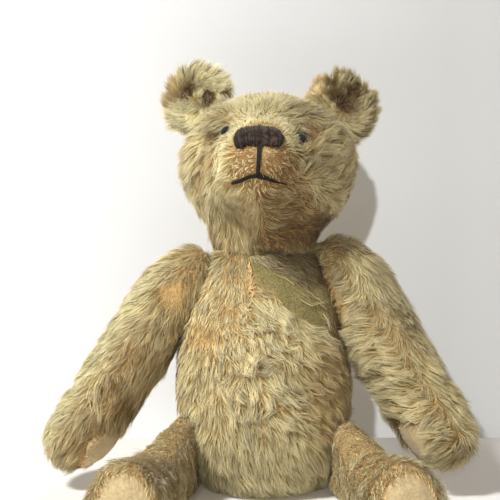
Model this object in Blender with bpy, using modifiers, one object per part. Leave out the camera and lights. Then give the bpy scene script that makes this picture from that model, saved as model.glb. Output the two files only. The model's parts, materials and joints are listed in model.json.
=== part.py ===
"""An old mohair teddy bear with five disc joints, sitting on the floor.

Metres, +Z up. The bear looks along -Y, and left and right are the bear's own, so its left is at +X.
Every cover is a cloth skin round a stuffing. At each joint a split pin holds two discs together, one
inside the trunk and one inside the limb or the head, and the limb turns on the pin.
"""
import math

import bmesh
import bpy
from mathutils import Matrix, Vector

# Cloth, clearances and the hardware of the joints
CLOTH = 0.0012
GAP = 0.0003
STUFFING_GAP = 0.0008
DISC_THICKNESS = 0.0024
WASHER_THICKNESS = 0.0008
WASHER_RADIUS = 0.006
HOLE_RADIUS = 0.0017
PIN_WIRE_RADIUS = 0.0006
PIN_LEG_OFFSET = 0.0007
PIN_CROWN_RADIUS = 0.0018
PIN_LOOP_RADIUS = 0.0019
POCKET_DEPTH = 0.0105
RING_STEPS = 16

# Trunk, in its own frame: origin on the floor under the seat, leaning back a little
LEAN = math.radians(7)
TRUNK_HEART = Vector((0, 0, 0.075))
TRUNK_LUMPS = (
    (Vector((0, -0.004, 0.058)), Vector((0.0532, 0.0465, 0.0605)), 0.020),
    (Vector((0, -0.002, 0.031)), Vector((0.0512, 0.0430, 0.0370)), 0.020),
    (Vector((0, 0.000, 0.104)), Vector((0.0500, 0.0390, 0.0640)), 0.024),
    (Vector((0, 0.016, 0.116)), Vector((0.0300, 0.0280, 0.0340)), 0.020),
)
NECK_HEIGHT = 0.150

# Darning down the chest, beside the bald patch
DARNING_CENTRE = (-0.0080, 0.1275)
DARNING_LENGTH = 0.034
DARNING_HALF_WIDTH = 0.0012
DARNING_WAVES = 6
DARNING_WANDER = 0.0010

# Arms: the shoulders' places on the trunk, which has slumped to its right, then how far each arm
# stands out and how far it swings forward
SHOULDER = {"left": Vector((0.0402, 0, 0.1315)), "right": Vector((-0.0402, 0, 0.1240))}
ARM_SPLAY = {"left": math.radians(22), "right": math.radians(26)}
ARM_SWING = {"left": math.radians(14), "right": math.radians(6)}
ARM_DISC_RADIUS = 0.0140

# Legs: straight out in front, a little apart
HIP = Vector((0.0385, -0.003, 0.0242))
LEG_SPLAY = math.radians(7)
LEG_DISC_RADIUS = 0.0145
HIP_RECESS_RADIUS = 0.0266

# Each limb's section at a distance down it from the joint: distance, then the section's centre
# outward and backward, then its half sizes outward and backward
ARM_SECTIONS = (
    (-0.016, 0.0110, 0.000, 0.0185, 0.0220),
    (0.010, 0.0158, 0.000, 0.0225, 0.0240),
    (0.045, 0.0198, 0.001, 0.0223, 0.0232),
    (0.080, 0.0245, 0.000, 0.0208, 0.0215),
    (0.110, 0.0282, -0.005, 0.0208, 0.0215),
    (0.136, 0.0302, -0.011, 0.0200, 0.0210),
)
ARM_ENDS = (-0.025, 0.136)
ARM_ROUNDING = (0.022, 0.022)
LEG_SECTIONS = (
    (0.000, 0.0088, 0.0000, 0.0125, 0.0240),
    (0.045, 0.0115, 0.0010, 0.0152, 0.0230),
    (0.090, 0.0155, 0.0035, 0.0165, 0.0207),
    (0.120, 0.0185, 0.0010, 0.0190, 0.0235),
    (0.140, 0.0190, -0.0010, 0.0205, 0.0252),
)
LEG_ENDS = (-0.0235, 0.151)
LEG_ROUNDING = (0.0225, 0.011)

# Felt pads, set into the palms, which face the body, and into the soles
PAW_PAD = {"half_width": 0.0122, "half_length": 0.0155, "distance": 0.1165}
PAW_PAD_TURN = math.radians(80)
FOOT_PAD = {"half_width": 0.0160, "half_length": 0.0210}

# Head, in its own frame: origin at the neck joint, Z along the neck
HEAD_YAW = math.radians(-6.5)
HEAD_ROLL = math.radians(4)
HEAD_TILT = math.radians(8.5)
HEAD_CENTRE = Vector((0.0035, -0.004, 0.052))
NECK_DISC_RADIUS = 0.021

# Lumps of the head, about the head's centre, with the muzzle along -Y
HEAD_LUMPS = (
    (Vector((0, 0.004, 0.003)), Vector((0.0540, 0.0500, 0.0460)), 0.020),
    (Vector((0, -0.044, -0.0075)), Vector((0.0265, 0.0320, 0.0255)), 0.024),
    (Vector((0, 0.006, -0.044)), Vector((0.0305, 0.0275, 0.0230)), 0.018),
)
EAR_CENTRE = {"left": Vector((0.0430, 0.008, 0.0470)), "right": Vector((0.0495, 0.008, 0.0480))}
EAR_RADIUS = 0.0198
EAR_CURVE = 0.036
EAR_THICKNESS = 0.0036
EAR_LEAN = math.radians(30)
EAR_TURN = math.radians(14)
EAR_STEPS = 20
EYE_PLACE = {"left": Vector((0.0168, -0.0340, 0.0068)), "right": Vector((0.0148, -0.0340, 0.0078))}
EYE_RADIUS = 0.0036
EYE_LIFT = 0.0004
SHANK_RADIUS = 0.0008
SHANK_LENGTH = 0.0050
FLOSS_THICKNESS = 0.0018

# Nose and mouth, as outlines seen from in front: sideways and up from the head's centre
NOSE_OUTLINE_HALF = (
    (0.0000, 0.0125), (0.0035, 0.0108), (0.0095, 0.0108), (0.0145, 0.0080),
    (0.0160, 0.0030), (0.0150, -0.0035), (0.0080, -0.0042), (0.0030, -0.0048),
)
MOUTH_TOP = -0.0056
MOUTH_FORK = -0.0165
MOUTH_TIP = (0.0160, -0.0215)
THREAD_HALF = 0.0011

# How finely the soft forms are divided: round, and from end to end
COVER_GRID = {"head": (36, 24), "trunk": (32, 22), "limb": (20, 16)}
LINING_GRID = {"head": (28, 18), "trunk": (24, 16), "limb": (20, 16)}

SIDES = {"left": 1, "right": -1}
FAR = 0.4


# --- Scene, materials and frames ---------------------------------------------------------------

for stray in list(bpy.data.objects):
    bpy.data.objects.remove(stray, do_unlink=True)


def new_collection(name):
    collection = bpy.data.collections.new(name)
    bpy.context.scene.collection.children.link(collection)
    return collection


BEAR = new_collection("teddy_bear")
CUTTERS = new_collection("cutters")


def new_material(name, colour, roughness, metallic=0.0):
    material = bpy.data.materials.new(name)
    material.use_nodes = True
    shader = material.node_tree.nodes["Principled BSDF"]
    shader.inputs["Base Color"].default_value = (*colour, 1)
    shader.inputs["Roughness"].default_value = roughness
    shader.inputs["Metallic"].default_value = metallic
    material.diffuse_color = (*colour, 1)
    return material


MOHAIR = new_material("mohair cloth", (0.50, 0.40, 0.22), 0.9)
WOOD_WOOL = new_material("wood wool", (0.55, 0.42, 0.22), 0.95)
FIBREBOARD = new_material("fibreboard", (0.22, 0.13, 0.07), 0.8)
STEEL = new_material("dull steel", (0.45, 0.44, 0.42), 0.45, 1.0)
FLOSS = new_material("dark brown floss", (0.045, 0.028, 0.020), 0.7)
BUTTON = new_material("dark button", (0.010, 0.009, 0.010), 0.2)
FELT = new_material("worn felt", (0.44, 0.34, 0.19), 0.95)
REPAIR_THREAD = new_material("repair thread", (0.48, 0.28, 0.12), 0.8)


def place(obj, name, collection, parent, material=None):
    """Name an object, move it to its collection and give it its parent and material."""
    obj.name = name
    obj.data.name = name
    for old in list(obj.users_collection):
        old.objects.unlink(obj)
    collection.objects.link(obj)
    obj.parent = parent
    if material:
        obj.data.materials.clear()
        obj.data.materials.append(material)
    if collection is CUTTERS:
        obj.hide_render = True
        obj.display_type = "WIRE"
    return obj


def new_frame(name, matrix, parent):
    """An empty that carries one body, on its joint's axis."""
    frame = bpy.data.objects.new(name, None)
    BEAR.objects.link(frame)
    frame.parent = parent
    frame.matrix_local = matrix
    return frame


def turn(angle, axis):
    return Matrix.Rotation(angle, 4, axis)


def shift(vector):
    return Matrix.Translation(vector)


def mirrored(vector, side):
    return Vector((vector[0] * side, vector[1], vector[2]))


# --- Soft forms ---------------------------------------------------------------------------------

def lump_distance(point, centre, radii):
    """Nearly the distance from a point to an ellipsoid's surface, below zero inside it."""
    offset = point - centre
    once = Vector([offset[k] / radii[k] for k in range(3)])
    twice = Vector([once[k] / radii[k] for k in range(3)])
    if twice.length < 1e-9:
        return -min(radii)
    return once.length * (once.length - 1) / twice.length


def blended_distance(lumps, point):
    """Distance to the surface of several lumps, each run smoothly into those before it."""
    distance = FAR
    for centre, radii, blend in lumps:
        other = lump_distance(point, centre, radii)
        overlap = max(blend - abs(distance - other), 0) / blend
        distance = min(distance, other) - overlap * overlap * blend / 4
    return distance


def surface_point(lumps, heart, direction, inset=0.0):
    """The point where a ray from the heart meets the blended surface, moved in by the inset."""
    near, far = 0.0, FAR
    for _ in range(40):
        middle = (near + far) / 2
        if blended_distance(lumps, heart + direction * middle) < -inset:
            near = middle
        else:
            far = middle
    return heart + direction * far


def surface_normal(lumps, point):
    step = 1e-4
    slope = [
        blended_distance(lumps, point + Vector([step * (k == axis) for k in range(3)]))
        - blended_distance(lumps, point - Vector([step * (k == axis) for k in range(3)]))
        for axis in range(3)
    ]
    return Vector(slope).normalized()


def formed_ball(grid, rule):
    """A sphere whose every point is moved to where the rule puts its direction.

    Its faces are triangles, so that a cover's lining and its stuffing bend along the same edges.
    """
    bpy.ops.mesh.primitive_uv_sphere_add(segments=grid[0], ring_count=grid[1], radius=1)
    ball = bpy.context.object
    for vertex in ball.data.vertices:
        vertex.co = rule(vertex.co.normalized())
    split = bmesh.new()
    split.from_mesh(ball.data)
    bmesh.ops.triangulate(split, faces=split.faces, quad_method="FIXED")
    split.to_mesh(ball.data)
    split.free()
    ball.data.shade_smooth()
    return ball


def trunk_form(inset, grid):
    return formed_ball(grid, lambda d: surface_point(TRUNK_LUMPS, TRUNK_HEART, d, inset))


def head_form(inset, grid):
    """The head, with the sphere's poles at the muzzle and at the back of the head."""
    heart = Vector((0, 0, 0))
    pole_forward = turn(math.radians(90), "X")
    return formed_ball(grid, lambda d: surface_point(HEAD_LUMPS, heart, pole_forward @ d, inset))


def section_at(sections, distance):
    """A limb's section at a distance down it, eased from each listed section to the next."""
    for lower, upper in zip(sections, sections[1:]):
        if distance <= upper[0]:
            part = max((distance - lower[0]) / (upper[0] - lower[0]), 0)
            part = part * part * (3 - 2 * part)
            return [a + (b - a) * part for a, b in zip(lower[1:], upper[1:])]
    return list(sections[-1][1:])


def end_rounding(distance, ends, rounding):
    """How much of a limb's section is left near its round ends, from 1 down to 0."""
    for room, radius in ((distance - ends[0], rounding[0]), (ends[1] - distance, rounding[1])):
        if room < radius:
            return math.sqrt(max(1 - (1 - room / radius) ** 2, 0))
    return 1.0


def limb_form(sections, ends, rounding, side, inset, grid):
    """A limb that runs down -Z from its joint at the origin, with its outer side away from it."""
    ends = (ends[0] + inset, ends[1] - inset)

    def rule(direction):
        distance = ends[0] + (ends[1] - ends[0]) * (1 - direction.z) / 2
        out, back, half_out, half_back = section_at(sections, distance)
        around = Vector((direction.x * side, direction.y))
        if around.length > 1e-6:
            around.normalize()
        full = end_rounding(distance, ends, rounding)
        return Vector((
            side * (out + (half_out - inset) * full * around.x),
            back + (half_back - inset) * full * around.y,
            -distance,
        ))

    return formed_ball(grid, rule)


def arm_form(side, inset, grid):
    return limb_form(ARM_SECTIONS, ARM_ENDS, ARM_ROUNDING, side, inset, grid)


def leg_form(side, inset, grid):
    return limb_form(LEG_SECTIONS, LEG_ENDS, LEG_ROUNDING, side, inset, grid)


# --- Cutting and turning ------------------------------------------------------------------------

def cut(obj, cutter, operation="DIFFERENCE"):
    modifier = obj.modifiers.new(cutter.name, "BOOLEAN")
    modifier.operation = operation
    modifier.solver = "EXACT"
    modifier.object = cutter


def block(name, parent, axis, level, side):
    """A large cutter that fills everything beyond a level along one axis of its frame."""
    bpy.ops.mesh.primitive_cube_add(size=FAR)
    cube = place(bpy.context.object, name, CUTTERS, parent)
    cube.location["XYZ".index(axis)] = level + side * FAR / 2
    return cube


def drum(name, parent, radius, bottom, top, along=None):
    """A round cutter between two heights on the Z of its frame, or of a matrix in that frame."""
    bpy.ops.mesh.primitive_cylinder_add(radius=radius, depth=top - bottom, vertices=24)
    cylinder = place(bpy.context.object, name, CUTTERS, parent)
    centre = shift(Vector((0, 0, (bottom + top) / 2)))
    cylinder.matrix_local = (along or Matrix()) @ centre
    return cylinder


def mesh_of_curve(curve_object):
    """Turn a curve object into a mesh object with its caps welded on."""
    graph = bpy.context.evaluated_depsgraph_get()
    mesh = bpy.data.meshes.new_from_object(curve_object.evaluated_get(graph))
    welded = bmesh.new()
    welded.from_mesh(mesh)
    bmesh.ops.remove_doubles(welded, verts=welded.verts, dist=1e-6)
    bmesh.ops.recalc_face_normals(welded, faces=welded.faces)
    welded.to_mesh(mesh)
    welded.free()
    obj = bpy.data.objects.new(curve_object.name, mesh)
    BEAR.objects.link(obj)
    obj.matrix_world = curve_object.matrix_world
    bpy.data.objects.remove(curve_object, do_unlink=True)
    return obj


def new_curve(name, points, cyclic):
    curve = bpy.data.curves.new(name, "CURVE")
    spline = curve.splines.new("POLY")
    spline.points.add(len(points) - 1)
    for control, point in zip(spline.points, points):
        control.co = (*point, 1)
    spline.use_cyclic_u = cyclic
    obj = bpy.data.objects.new(name, curve)
    BEAR.objects.link(obj)
    return obj


def outline_prism(name, parent, outline, depth, along):
    """A cutter with a flat outline, drawn in the XY of a matrix and reaching up its Z."""
    obj = new_curve(name, [(x, y, 0) for x, y in outline], cyclic=True)
    obj.data.dimensions = "2D"
    obj.data.fill_mode = "BOTH"
    obj.data.extrude = depth / 2
    prism = place(mesh_of_curve(obj), name, CUTTERS, parent)
    prism.matrix_local = along @ shift(Vector((0, 0, depth / 2)))
    return prism


def oval(half_width, half_height, centre=(0, 0), points=20):
    angles = [2 * math.pi * k / points for k in range(points)]
    return [
        (centre[0] + half_width * math.cos(a), centre[1] + half_height * math.sin(a))
        for a in angles
    ]


def turned(name, parent, material, profile, closed, steps=RING_STEPS):
    """A profile of radius and height, run down its outer side, turned about Z."""
    mesh = bpy.data.meshes.new(name)
    points = [(radius, 0, height) for radius, height in profile]
    edges = [(k, k + 1) for k in range(len(points) - 1)]
    if closed:
        edges.append((len(points) - 1, 0))
    mesh.from_pydata(points, edges, [])
    obj = bpy.data.objects.new(name, mesh)
    place(obj, name, BEAR, parent, material)
    screw = obj.modifiers.new("turn", "SCREW")
    screw.steps = screw.render_steps = steps
    screw.use_merge_vertices = True
    screw.merge_threshold = 1e-5
    screw.use_smooth_shade = False
    return obj


# --- Disc joints --------------------------------------------------------------------------------

def ring(name, parent, material, along, radius, bottom, top):
    profile = [(radius, top), (radius, bottom), (HOLE_RADIUS, bottom), (HOLE_RADIUS, top)]
    obj = turned(name, parent, material, profile, closed=True)
    obj.matrix_local = along
    return obj


def arc(centre, radius, start, end, steps):
    angles = [start + (end - start) * k / steps for k in range(steps + 1)]
    return [(centre[0] + radius * math.cos(a), centre[1] + radius * math.sin(a)) for a in angles]


def split_pin(name, parent, along, low, high):
    """One wire bent into a loop above the upper washer, with both ends curled below the lower."""
    crown = PIN_CROWN_RADIUS
    loop_centre = (0, high + PIN_WIRE_RADIUS + GAP + PIN_LOOP_RADIUS * 0.93)
    opening = math.asin(PIN_LEG_OFFSET / PIN_LOOP_RADIUS)
    crown_level = low - PIN_WIRE_RADIUS - GAP
    right_crown = arc((PIN_LEG_OFFSET + crown, crown_level), crown, 0, -math.pi, 5)
    loop = arc(loop_centre, PIN_LOOP_RADIUS, opening - math.pi / 2,
               1.5 * math.pi - opening, 8)
    left_crown = [(-x, z) for x, z in reversed(right_crown)]
    path = [(x, 0, z) for x, z in right_crown + loop + left_crown]
    pin = new_curve(name, path, cyclic=False)
    pin.data.dimensions = "3D"
    pin.data.bevel_depth = PIN_WIRE_RADIUS
    pin.data.bevel_resolution = 1
    pin.data.use_fill_caps = True
    place(pin, name, BEAR, parent, STEEL)
    pin.matrix_local = along
    return pin


def layer_heights():
    """Distances from the middle of a joint to the faces of its cloth, disc and washer."""
    disc_near = GAP / 2 + CLOTH + GAP
    disc_far = disc_near + DISC_THICKNESS
    washer_near = disc_far + GAP
    return disc_near, disc_far, washer_near, washer_near + WASHER_THICKNESS


def disc_joint(name, trunk_frame, trunk_along, limb_frame, limb_along, limb_word, disc_radius):
    """The five pieces of a joint, about the Z of its frame, which points away from the trunk."""
    disc_near, disc_far, washer_near, washer_far = layer_heights()
    ring(f"{name}_disc_in_trunk", trunk_frame, FIBREBOARD, trunk_along,
         disc_radius, -disc_far, -disc_near)
    ring(f"{name}_washer_in_trunk", trunk_frame, STEEL, trunk_along,
         WASHER_RADIUS, -washer_far, -washer_near)
    ring(f"{name}_disc_in_{limb_word}", limb_frame, FIBREBOARD, limb_along,
         disc_radius, disc_near, disc_far)
    ring(f"{name}_washer_in_{limb_word}", limb_frame, STEEL, limb_along,
         WASHER_RADIUS, washer_near, washer_far)
    split_pin(f"{name}_split_pin", limb_frame, limb_along, -washer_far, washer_far)


def joint_cutters(name, frame, along, disc_radius):
    """The hole for the pin through both covers, and the pocket for the discs in both stuffings."""
    hole = drum(f"{name}_hole", frame, HOLE_RADIUS, -CLOTH - GAP, CLOTH + GAP, along)
    pocket = drum(f"{name}_pocket", frame, disc_radius + GAP, -POCKET_DEPTH, POCKET_DEPTH, along)
    return hole, pocket


# --- Frames of the bodies -----------------------------------------------------------------------

root = new_frame("bear", Matrix(), None)
trunk = new_frame("trunk_frame", turn(-LEAN, "X"), root)
neck_matrix = turn(-LEAN, "X") @ shift(Vector((0, 0, NECK_HEIGHT))) @ turn(HEAD_YAW, "Z")
head = new_frame("head_frame", neck_matrix, root)
trunk_from_root = turn(LEAN, "X")
neck_on_trunk = trunk_from_root @ neck_matrix
head_shape = shift(HEAD_CENTRE) @ turn(HEAD_ROLL, "Y") @ turn(-HEAD_TILT, "X")

limb_frames = {}
for word, side in SIDES.items():
    arm_matrix = (
        turn(-LEAN, "X") @ shift(SHOULDER[word])
        @ turn(-side * ARM_SPLAY[word], "Y") @ turn(LEAN - ARM_SWING[word], "X")
    )
    limb_frames["arm", word] = new_frame(f"arm_{word}_frame", arm_matrix, root)
    leg_matrix = (
        shift(mirrored(HIP, side)) @ turn(side * LEG_SPLAY, "Z") @ turn(math.radians(-90), "X")
    )
    limb_frames["leg", word] = new_frame(f"leg_{word}_frame", leg_matrix, root)


def outward(side):
    """A frame at a limb's joint whose Z is the joint's axis, pointing away from the trunk."""
    return turn(side * math.radians(90), "Y")


# --- Trunk --------------------------------------------------------------------------------------

hardware = {"neck": joint_cutters("neck", head, Matrix(), NECK_DISC_RADIUS)}
for (limb, word), frame in limb_frames.items():
    radius = ARM_DISC_RADIUS if limb == "arm" else LEG_DISC_RADIUS
    name = f"{limb}_{word}"
    hardware[name] = joint_cutters(name, frame, outward(SIDES[word]), radius)


def leg_room(reach, side):
    """What a leg sweeps from sitting to standing, as an outline about the hip joint's axis."""
    corner = arc((0, 0), reach, math.pi, math.pi / 2, 8)
    outline = corner + [(FAR, reach), (FAR, -FAR), (-reach, -FAR)]
    return [(-side * up, back) for back, up in outline]


def trunk_solid(name, inset, grid, collection):
    """The trunk as a solid, flat at its joints and seat, and hollowed where each leg swings."""
    solid = place(trunk_form(inset, grid), name, collection, trunk, MOHAIR)
    cut(solid, block(f"{name}_seat_cutter", root, "Z", inset, -1))
    cut(solid, block(f"{name}_neck_cutter", trunk, "Z", NECK_HEIGHT - GAP / 2 - inset, 1))
    for word, side in SIDES.items():
        level = -side * (GAP / 2 + inset)
        cut(solid, block(f"{name}_arm_{word}_cutter", limb_frames["arm", word], "X", level, side))
        floor_of_room = outward(side) @ shift(Vector((0, 0, -GAP / 2 - inset)))
        cut(solid, outline_prism(f"{name}_leg_{word}_cutter", limb_frames["leg", word],
                                 leg_room(HIP_RECESS_RADIUS + inset, side), FAR / 4, floor_of_room))
    return solid


trunk_cover = trunk_solid("trunk_cover", 0, COVER_GRID["trunk"], BEAR)
cut(trunk_cover, trunk_solid("trunk_lining", CLOTH, LINING_GRID["trunk"], CUTTERS))
trunk_stuffing = trunk_solid("trunk_stuffing", CLOTH + STUFFING_GAP, LINING_GRID["trunk"], BEAR)
trunk_stuffing.data.materials[0] = WOOD_WOOL
for hole, pocket in hardware.values():
    cut(trunk_cover, hole)
    cut(trunk_stuffing, pocket)


def darning_edge(side):
    """One edge of a wavering strip of coarse stitches, thin at both ends."""
    count = 4 * DARNING_WAVES
    for k in range(count + 1):
        part = k / count
        wander = DARNING_WANDER * math.sin(part * math.pi * DARNING_WAVES)
        taper = 0.4 + 0.6 * math.sin(math.pi * part)
        yield (
            DARNING_CENTRE[0] + wander + side * DARNING_HALF_WIDTH * taper,
            DARNING_CENTRE[1] + DARNING_LENGTH * (part - 0.5),
        )


facing_forward = turn(math.radians(90), "X")
darning_outline = list(darning_edge(1)) + list(reversed(list(darning_edge(-1))))
darning_prism = outline_prism("darning_prism", trunk, darning_outline, 0.1, facing_forward)
darning = place(trunk_form(-GAP - CLOTH, COVER_GRID["trunk"]), "chest_darning", BEAR, trunk,
                REPAIR_THREAD)
cut(darning, darning_prism, "INTERSECT")
cut(darning, place(trunk_form(-GAP, COVER_GRID["trunk"]), "darning_bed", CUTTERS, trunk))

# --- Head ---------------------------------------------------------------------------------------


def head_solid(name, inset, grid, collection):
    solid = place(head_form(inset, grid), name, collection, head, MOHAIR)
    solid.matrix_local = head_shape
    cut(solid, block(f"{name}_neck_cutter", head, "Z", GAP / 2 + inset, -1))
    return solid


head_cover = head_solid("head_cover", 0, COVER_GRID["head"], BEAR)
cut(head_cover, head_solid("head_lining", CLOTH, LINING_GRID["head"], CUTTERS))
head_stuffing = head_solid("head_stuffing", CLOTH + STUFFING_GAP, LINING_GRID["head"], BEAR)
head_stuffing.data.materials[0] = WOOD_WOOL
neck_hole, neck_pocket = hardware["neck"]
cut(head_cover, neck_hole)
cut(head_stuffing, neck_pocket)

# Ears: cupped discs of doubled cloth, sewn down along the head
ear_bed = head_form(-GAP, COVER_GRID["head"])
place(ear_bed, "ear_bed", CUTTERS, head).matrix_local = head_shape


def cup_profile(curve, rim, steps=5):
    """The section of a shallow cup with its centre of curve below it, from the middle outward."""
    reach = math.asin(rim / EAR_CURVE)
    return [
        (curve * math.sin(reach * k / steps), curve * math.cos(reach * k / steps) - EAR_CURVE)
        for k in range(steps + 1)
    ]


def ear(word, side):
    back = cup_profile(EAR_CURVE, EAR_RADIUS)
    front = cup_profile(EAR_CURVE - EAR_THICKNESS, EAR_RADIUS - EAR_THICKNESS / 3)
    profile = back + front[::-1]
    obj = turned(f"ear_{word}", head, MOHAIR, profile, closed=False, steps=EAR_STEPS)
    cup_forward = (
        shift(mirrored(EAR_CENTRE[word], side)) @ turn(side * EAR_LEAN, "Y")
        @ turn(side * EAR_TURN, "Z") @ turn(math.radians(-90), "X")
    )
    obj.matrix_local = head_shape @ cup_forward
    cut(obj, ear_bed)


def eye(word, side):
    """A domed button with its shank through the cover."""
    heart = Vector((0, 0, 0))
    spot = surface_point(HEAD_LUMPS, heart, mirrored(EYE_PLACE[word], side).normalized())
    outwards = surface_normal(HEAD_LUMPS, spot).to_track_quat("Z", "Y").to_matrix().to_4x4()
    along = head_shape @ shift(spot) @ outwards @ shift(Vector((0, 0, EYE_LIFT)))
    steps = 6
    dome = [
        (EYE_RADIUS * math.sin(math.pi / 2 * k / steps),
         EYE_RADIUS * (0.12 + 0.70 * math.cos(math.pi / 2 * k / steps)))
        for k in range(steps + 1)
    ]
    rim = [(EYE_RADIUS * 0.85, 0), (SHANK_RADIUS, 0), (SHANK_RADIUS, -SHANK_LENGTH),
           (0, -SHANK_LENGTH)]
    obj = turned(f"eye_{word}", head, BUTTON, dome + rim, closed=False, steps=16)
    obj.matrix_local = along
    hole = drum(f"eye_{word}_hole", head, SHANK_RADIUS + GAP, -SHANK_LENGTH - 2 * GAP, CLOTH, along)
    cut(head_cover, hole)
    cut(head_stuffing, hole)


for word, side in SIDES.items():
    ear(word, side)
    eye(word, side)

# Nose and mouth: floss lying on the muzzle, cut to their outlines


def mirrored_outline(half):
    return list(half) + [(-x, y) for x, y in reversed(half) if x > 0]


def floss_patch(name, outline):
    prism = outline_prism(f"{name}_prism", head, outline, 0.12, head_shape @ facing_forward)
    obj = head_form(-GAP - FLOSS_THICKNESS, COVER_GRID["head"])
    place(obj, name, BEAR, head, FLOSS).matrix_local = head_shape
    cut(obj, prism, "INTERSECT")
    cut(obj, ear_bed)


mouth_outline_half = (
    (THREAD_HALF, MOUTH_TOP), (THREAD_HALF, MOUTH_FORK),
    (MOUTH_TIP[0] * 0.55, MOUTH_FORK - 0.0020),
    (MOUTH_TIP[0], MOUTH_TIP[1] + THREAD_HALF), (MOUTH_TIP[0], MOUTH_TIP[1] - THREAD_HALF / 2),
    (MOUTH_TIP[0] * 0.50, MOUTH_FORK - 0.0045), (0.0, MOUTH_FORK - 2.6 * THREAD_HALF),
)
floss_patch("nose_stitching", mirrored_outline(NOSE_OUTLINE_HALF))
floss_patch("mouth_stitching", mirrored_outline(mouth_outline_half))

# --- Arms and legs ------------------------------------------------------------------------------


def limb_solid(name, limb, word, inset, grid, collection):
    side = SIDES[word]
    frame = limb_frames[limb, word]
    form = arm_form if limb == "arm" else leg_form
    solid = place(form(side, inset, grid), name, collection, frame, MOHAIR)
    cut(solid, block(f"{name}_joint_cutter", frame, "X", side * (GAP / 2 + inset), -side))
    if limb == "leg":
        cut(solid, block(f"{name}_floor_cutter", root, "Z", inset, -1))
    return solid


def pad_prism(name, limb, word, spare):
    """The outline of a felt pad, as a cutter that reaches out through the limb's end or palm."""
    side = SIDES[word]
    if limb == "arm":
        outline = oval(PAW_PAD["half_width"] + spare, PAW_PAD["half_length"] + spare)
        middle = Vector((side * ARM_SECTIONS[-1][1], ARM_SECTIONS[-1][2], -PAW_PAD["distance"]))
        along = shift(middle) @ turn(side * -PAW_PAD_TURN, "Z") @ facing_forward
    else:
        outline = oval(FOOT_PAD["half_width"] + spare, FOOT_PAD["half_length"] + spare)
        distance, out, back = LEG_SECTIONS[-1][:3]
        along = shift(Vector((side * out, back, -distance))) @ turn(math.pi, "X")
    return outline_prism(name, limb_frames[limb, word], outline, 0.06, along)


def stuffed_limb(limb, word):
    name = f"{limb}_{word}"
    hole, pocket = hardware[name]
    pad_name = f"{'paw' if limb == 'arm' else 'foot'}_pad_{word}"
    lining = limb_solid(f"{name}_lining", limb, word, CLOTH, LINING_GRID["limb"], CUTTERS)
    cover = limb_solid(f"{name}_cover", limb, word, 0, COVER_GRID["limb"], BEAR)
    cut(cover, lining)
    cut(cover, hole)
    cut(cover, pad_prism(f"{pad_name}_window", limb, word, 0))
    pad = limb_solid(pad_name, limb, word, 0, COVER_GRID["limb"], BEAR)
    pad.data.materials[0] = FELT
    cut(pad, lining)
    cut(pad, pad_prism(f"{pad_name}_outline", limb, word, -GAP), "INTERSECT")
    stuffing = limb_solid(f"{name}_stuffing", limb, word, CLOTH + STUFFING_GAP, LINING_GRID["limb"], BEAR)
    stuffing.data.materials[0] = WOOD_WOOL
    cut(stuffing, pocket)


for limb, word in limb_frames:
    stuffed_limb(limb, word)

# --- Joints -------------------------------------------------------------------------------------

disc_joint("neck", trunk, neck_on_trunk, head, Matrix(), "head", NECK_DISC_RADIUS)
for (limb, word), frame in limb_frames.items():
    along = outward(SIDES[word])
    radius = ARM_DISC_RADIUS if limb == "arm" else LEG_DISC_RADIUS
    on_trunk = trunk_from_root @ frame.matrix_local @ along
    disc_joint(f"{limb}_{word}", trunk, on_trunk, frame, along, limb, radius)

# --- Stand the bear over the origin -------------------------------------------------------------


def centre_on_origin():
    """Move the whole bear so that the middle of its bounding box is over the origin."""
    bpy.context.view_layer.update()
    graph = bpy.context.evaluated_depsgraph_get()
    corners = [
        obj.matrix_world @ vertex.co
        for obj in BEAR.objects if obj.type == "MESH"
        for vertex in obj.evaluated_get(graph).data.vertices
    ]
    for axis in range(2):
        values = [corner[axis] for corner in corners]
        root.location[axis] = -(min(values) + max(values)) / 2


centre_on_origin()
bpy.context.view_layer.update()
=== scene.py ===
import json
import math

import bpy
import numpy as np
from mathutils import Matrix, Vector
from mathutils.bvhtree import BVHTree
from mathutils.kdtree import KDTree

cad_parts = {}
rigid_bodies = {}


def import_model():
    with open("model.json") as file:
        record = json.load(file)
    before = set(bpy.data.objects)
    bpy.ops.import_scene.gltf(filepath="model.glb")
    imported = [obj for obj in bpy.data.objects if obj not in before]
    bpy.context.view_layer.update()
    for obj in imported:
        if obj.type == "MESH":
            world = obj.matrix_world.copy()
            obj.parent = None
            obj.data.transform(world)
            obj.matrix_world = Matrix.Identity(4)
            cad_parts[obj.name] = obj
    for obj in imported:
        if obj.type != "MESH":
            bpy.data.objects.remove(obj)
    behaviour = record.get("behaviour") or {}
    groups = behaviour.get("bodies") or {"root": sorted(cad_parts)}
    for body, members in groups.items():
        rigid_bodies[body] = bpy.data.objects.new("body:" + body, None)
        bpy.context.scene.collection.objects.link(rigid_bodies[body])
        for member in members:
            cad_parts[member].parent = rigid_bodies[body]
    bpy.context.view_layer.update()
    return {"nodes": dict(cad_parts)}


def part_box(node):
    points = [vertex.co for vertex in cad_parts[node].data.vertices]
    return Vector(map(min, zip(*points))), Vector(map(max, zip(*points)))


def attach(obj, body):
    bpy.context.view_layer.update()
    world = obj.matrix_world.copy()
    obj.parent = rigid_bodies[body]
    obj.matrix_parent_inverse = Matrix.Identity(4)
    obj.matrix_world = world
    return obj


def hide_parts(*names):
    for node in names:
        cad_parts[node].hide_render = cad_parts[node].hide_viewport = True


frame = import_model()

# An old mohair teddy bear: woven skins over a firm stuffing, a pile of combed strands on them,
# felt pads, button eyes and an embroidered nose and mouth.
# The bear looks along -Y, and its own left is at +X.

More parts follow.
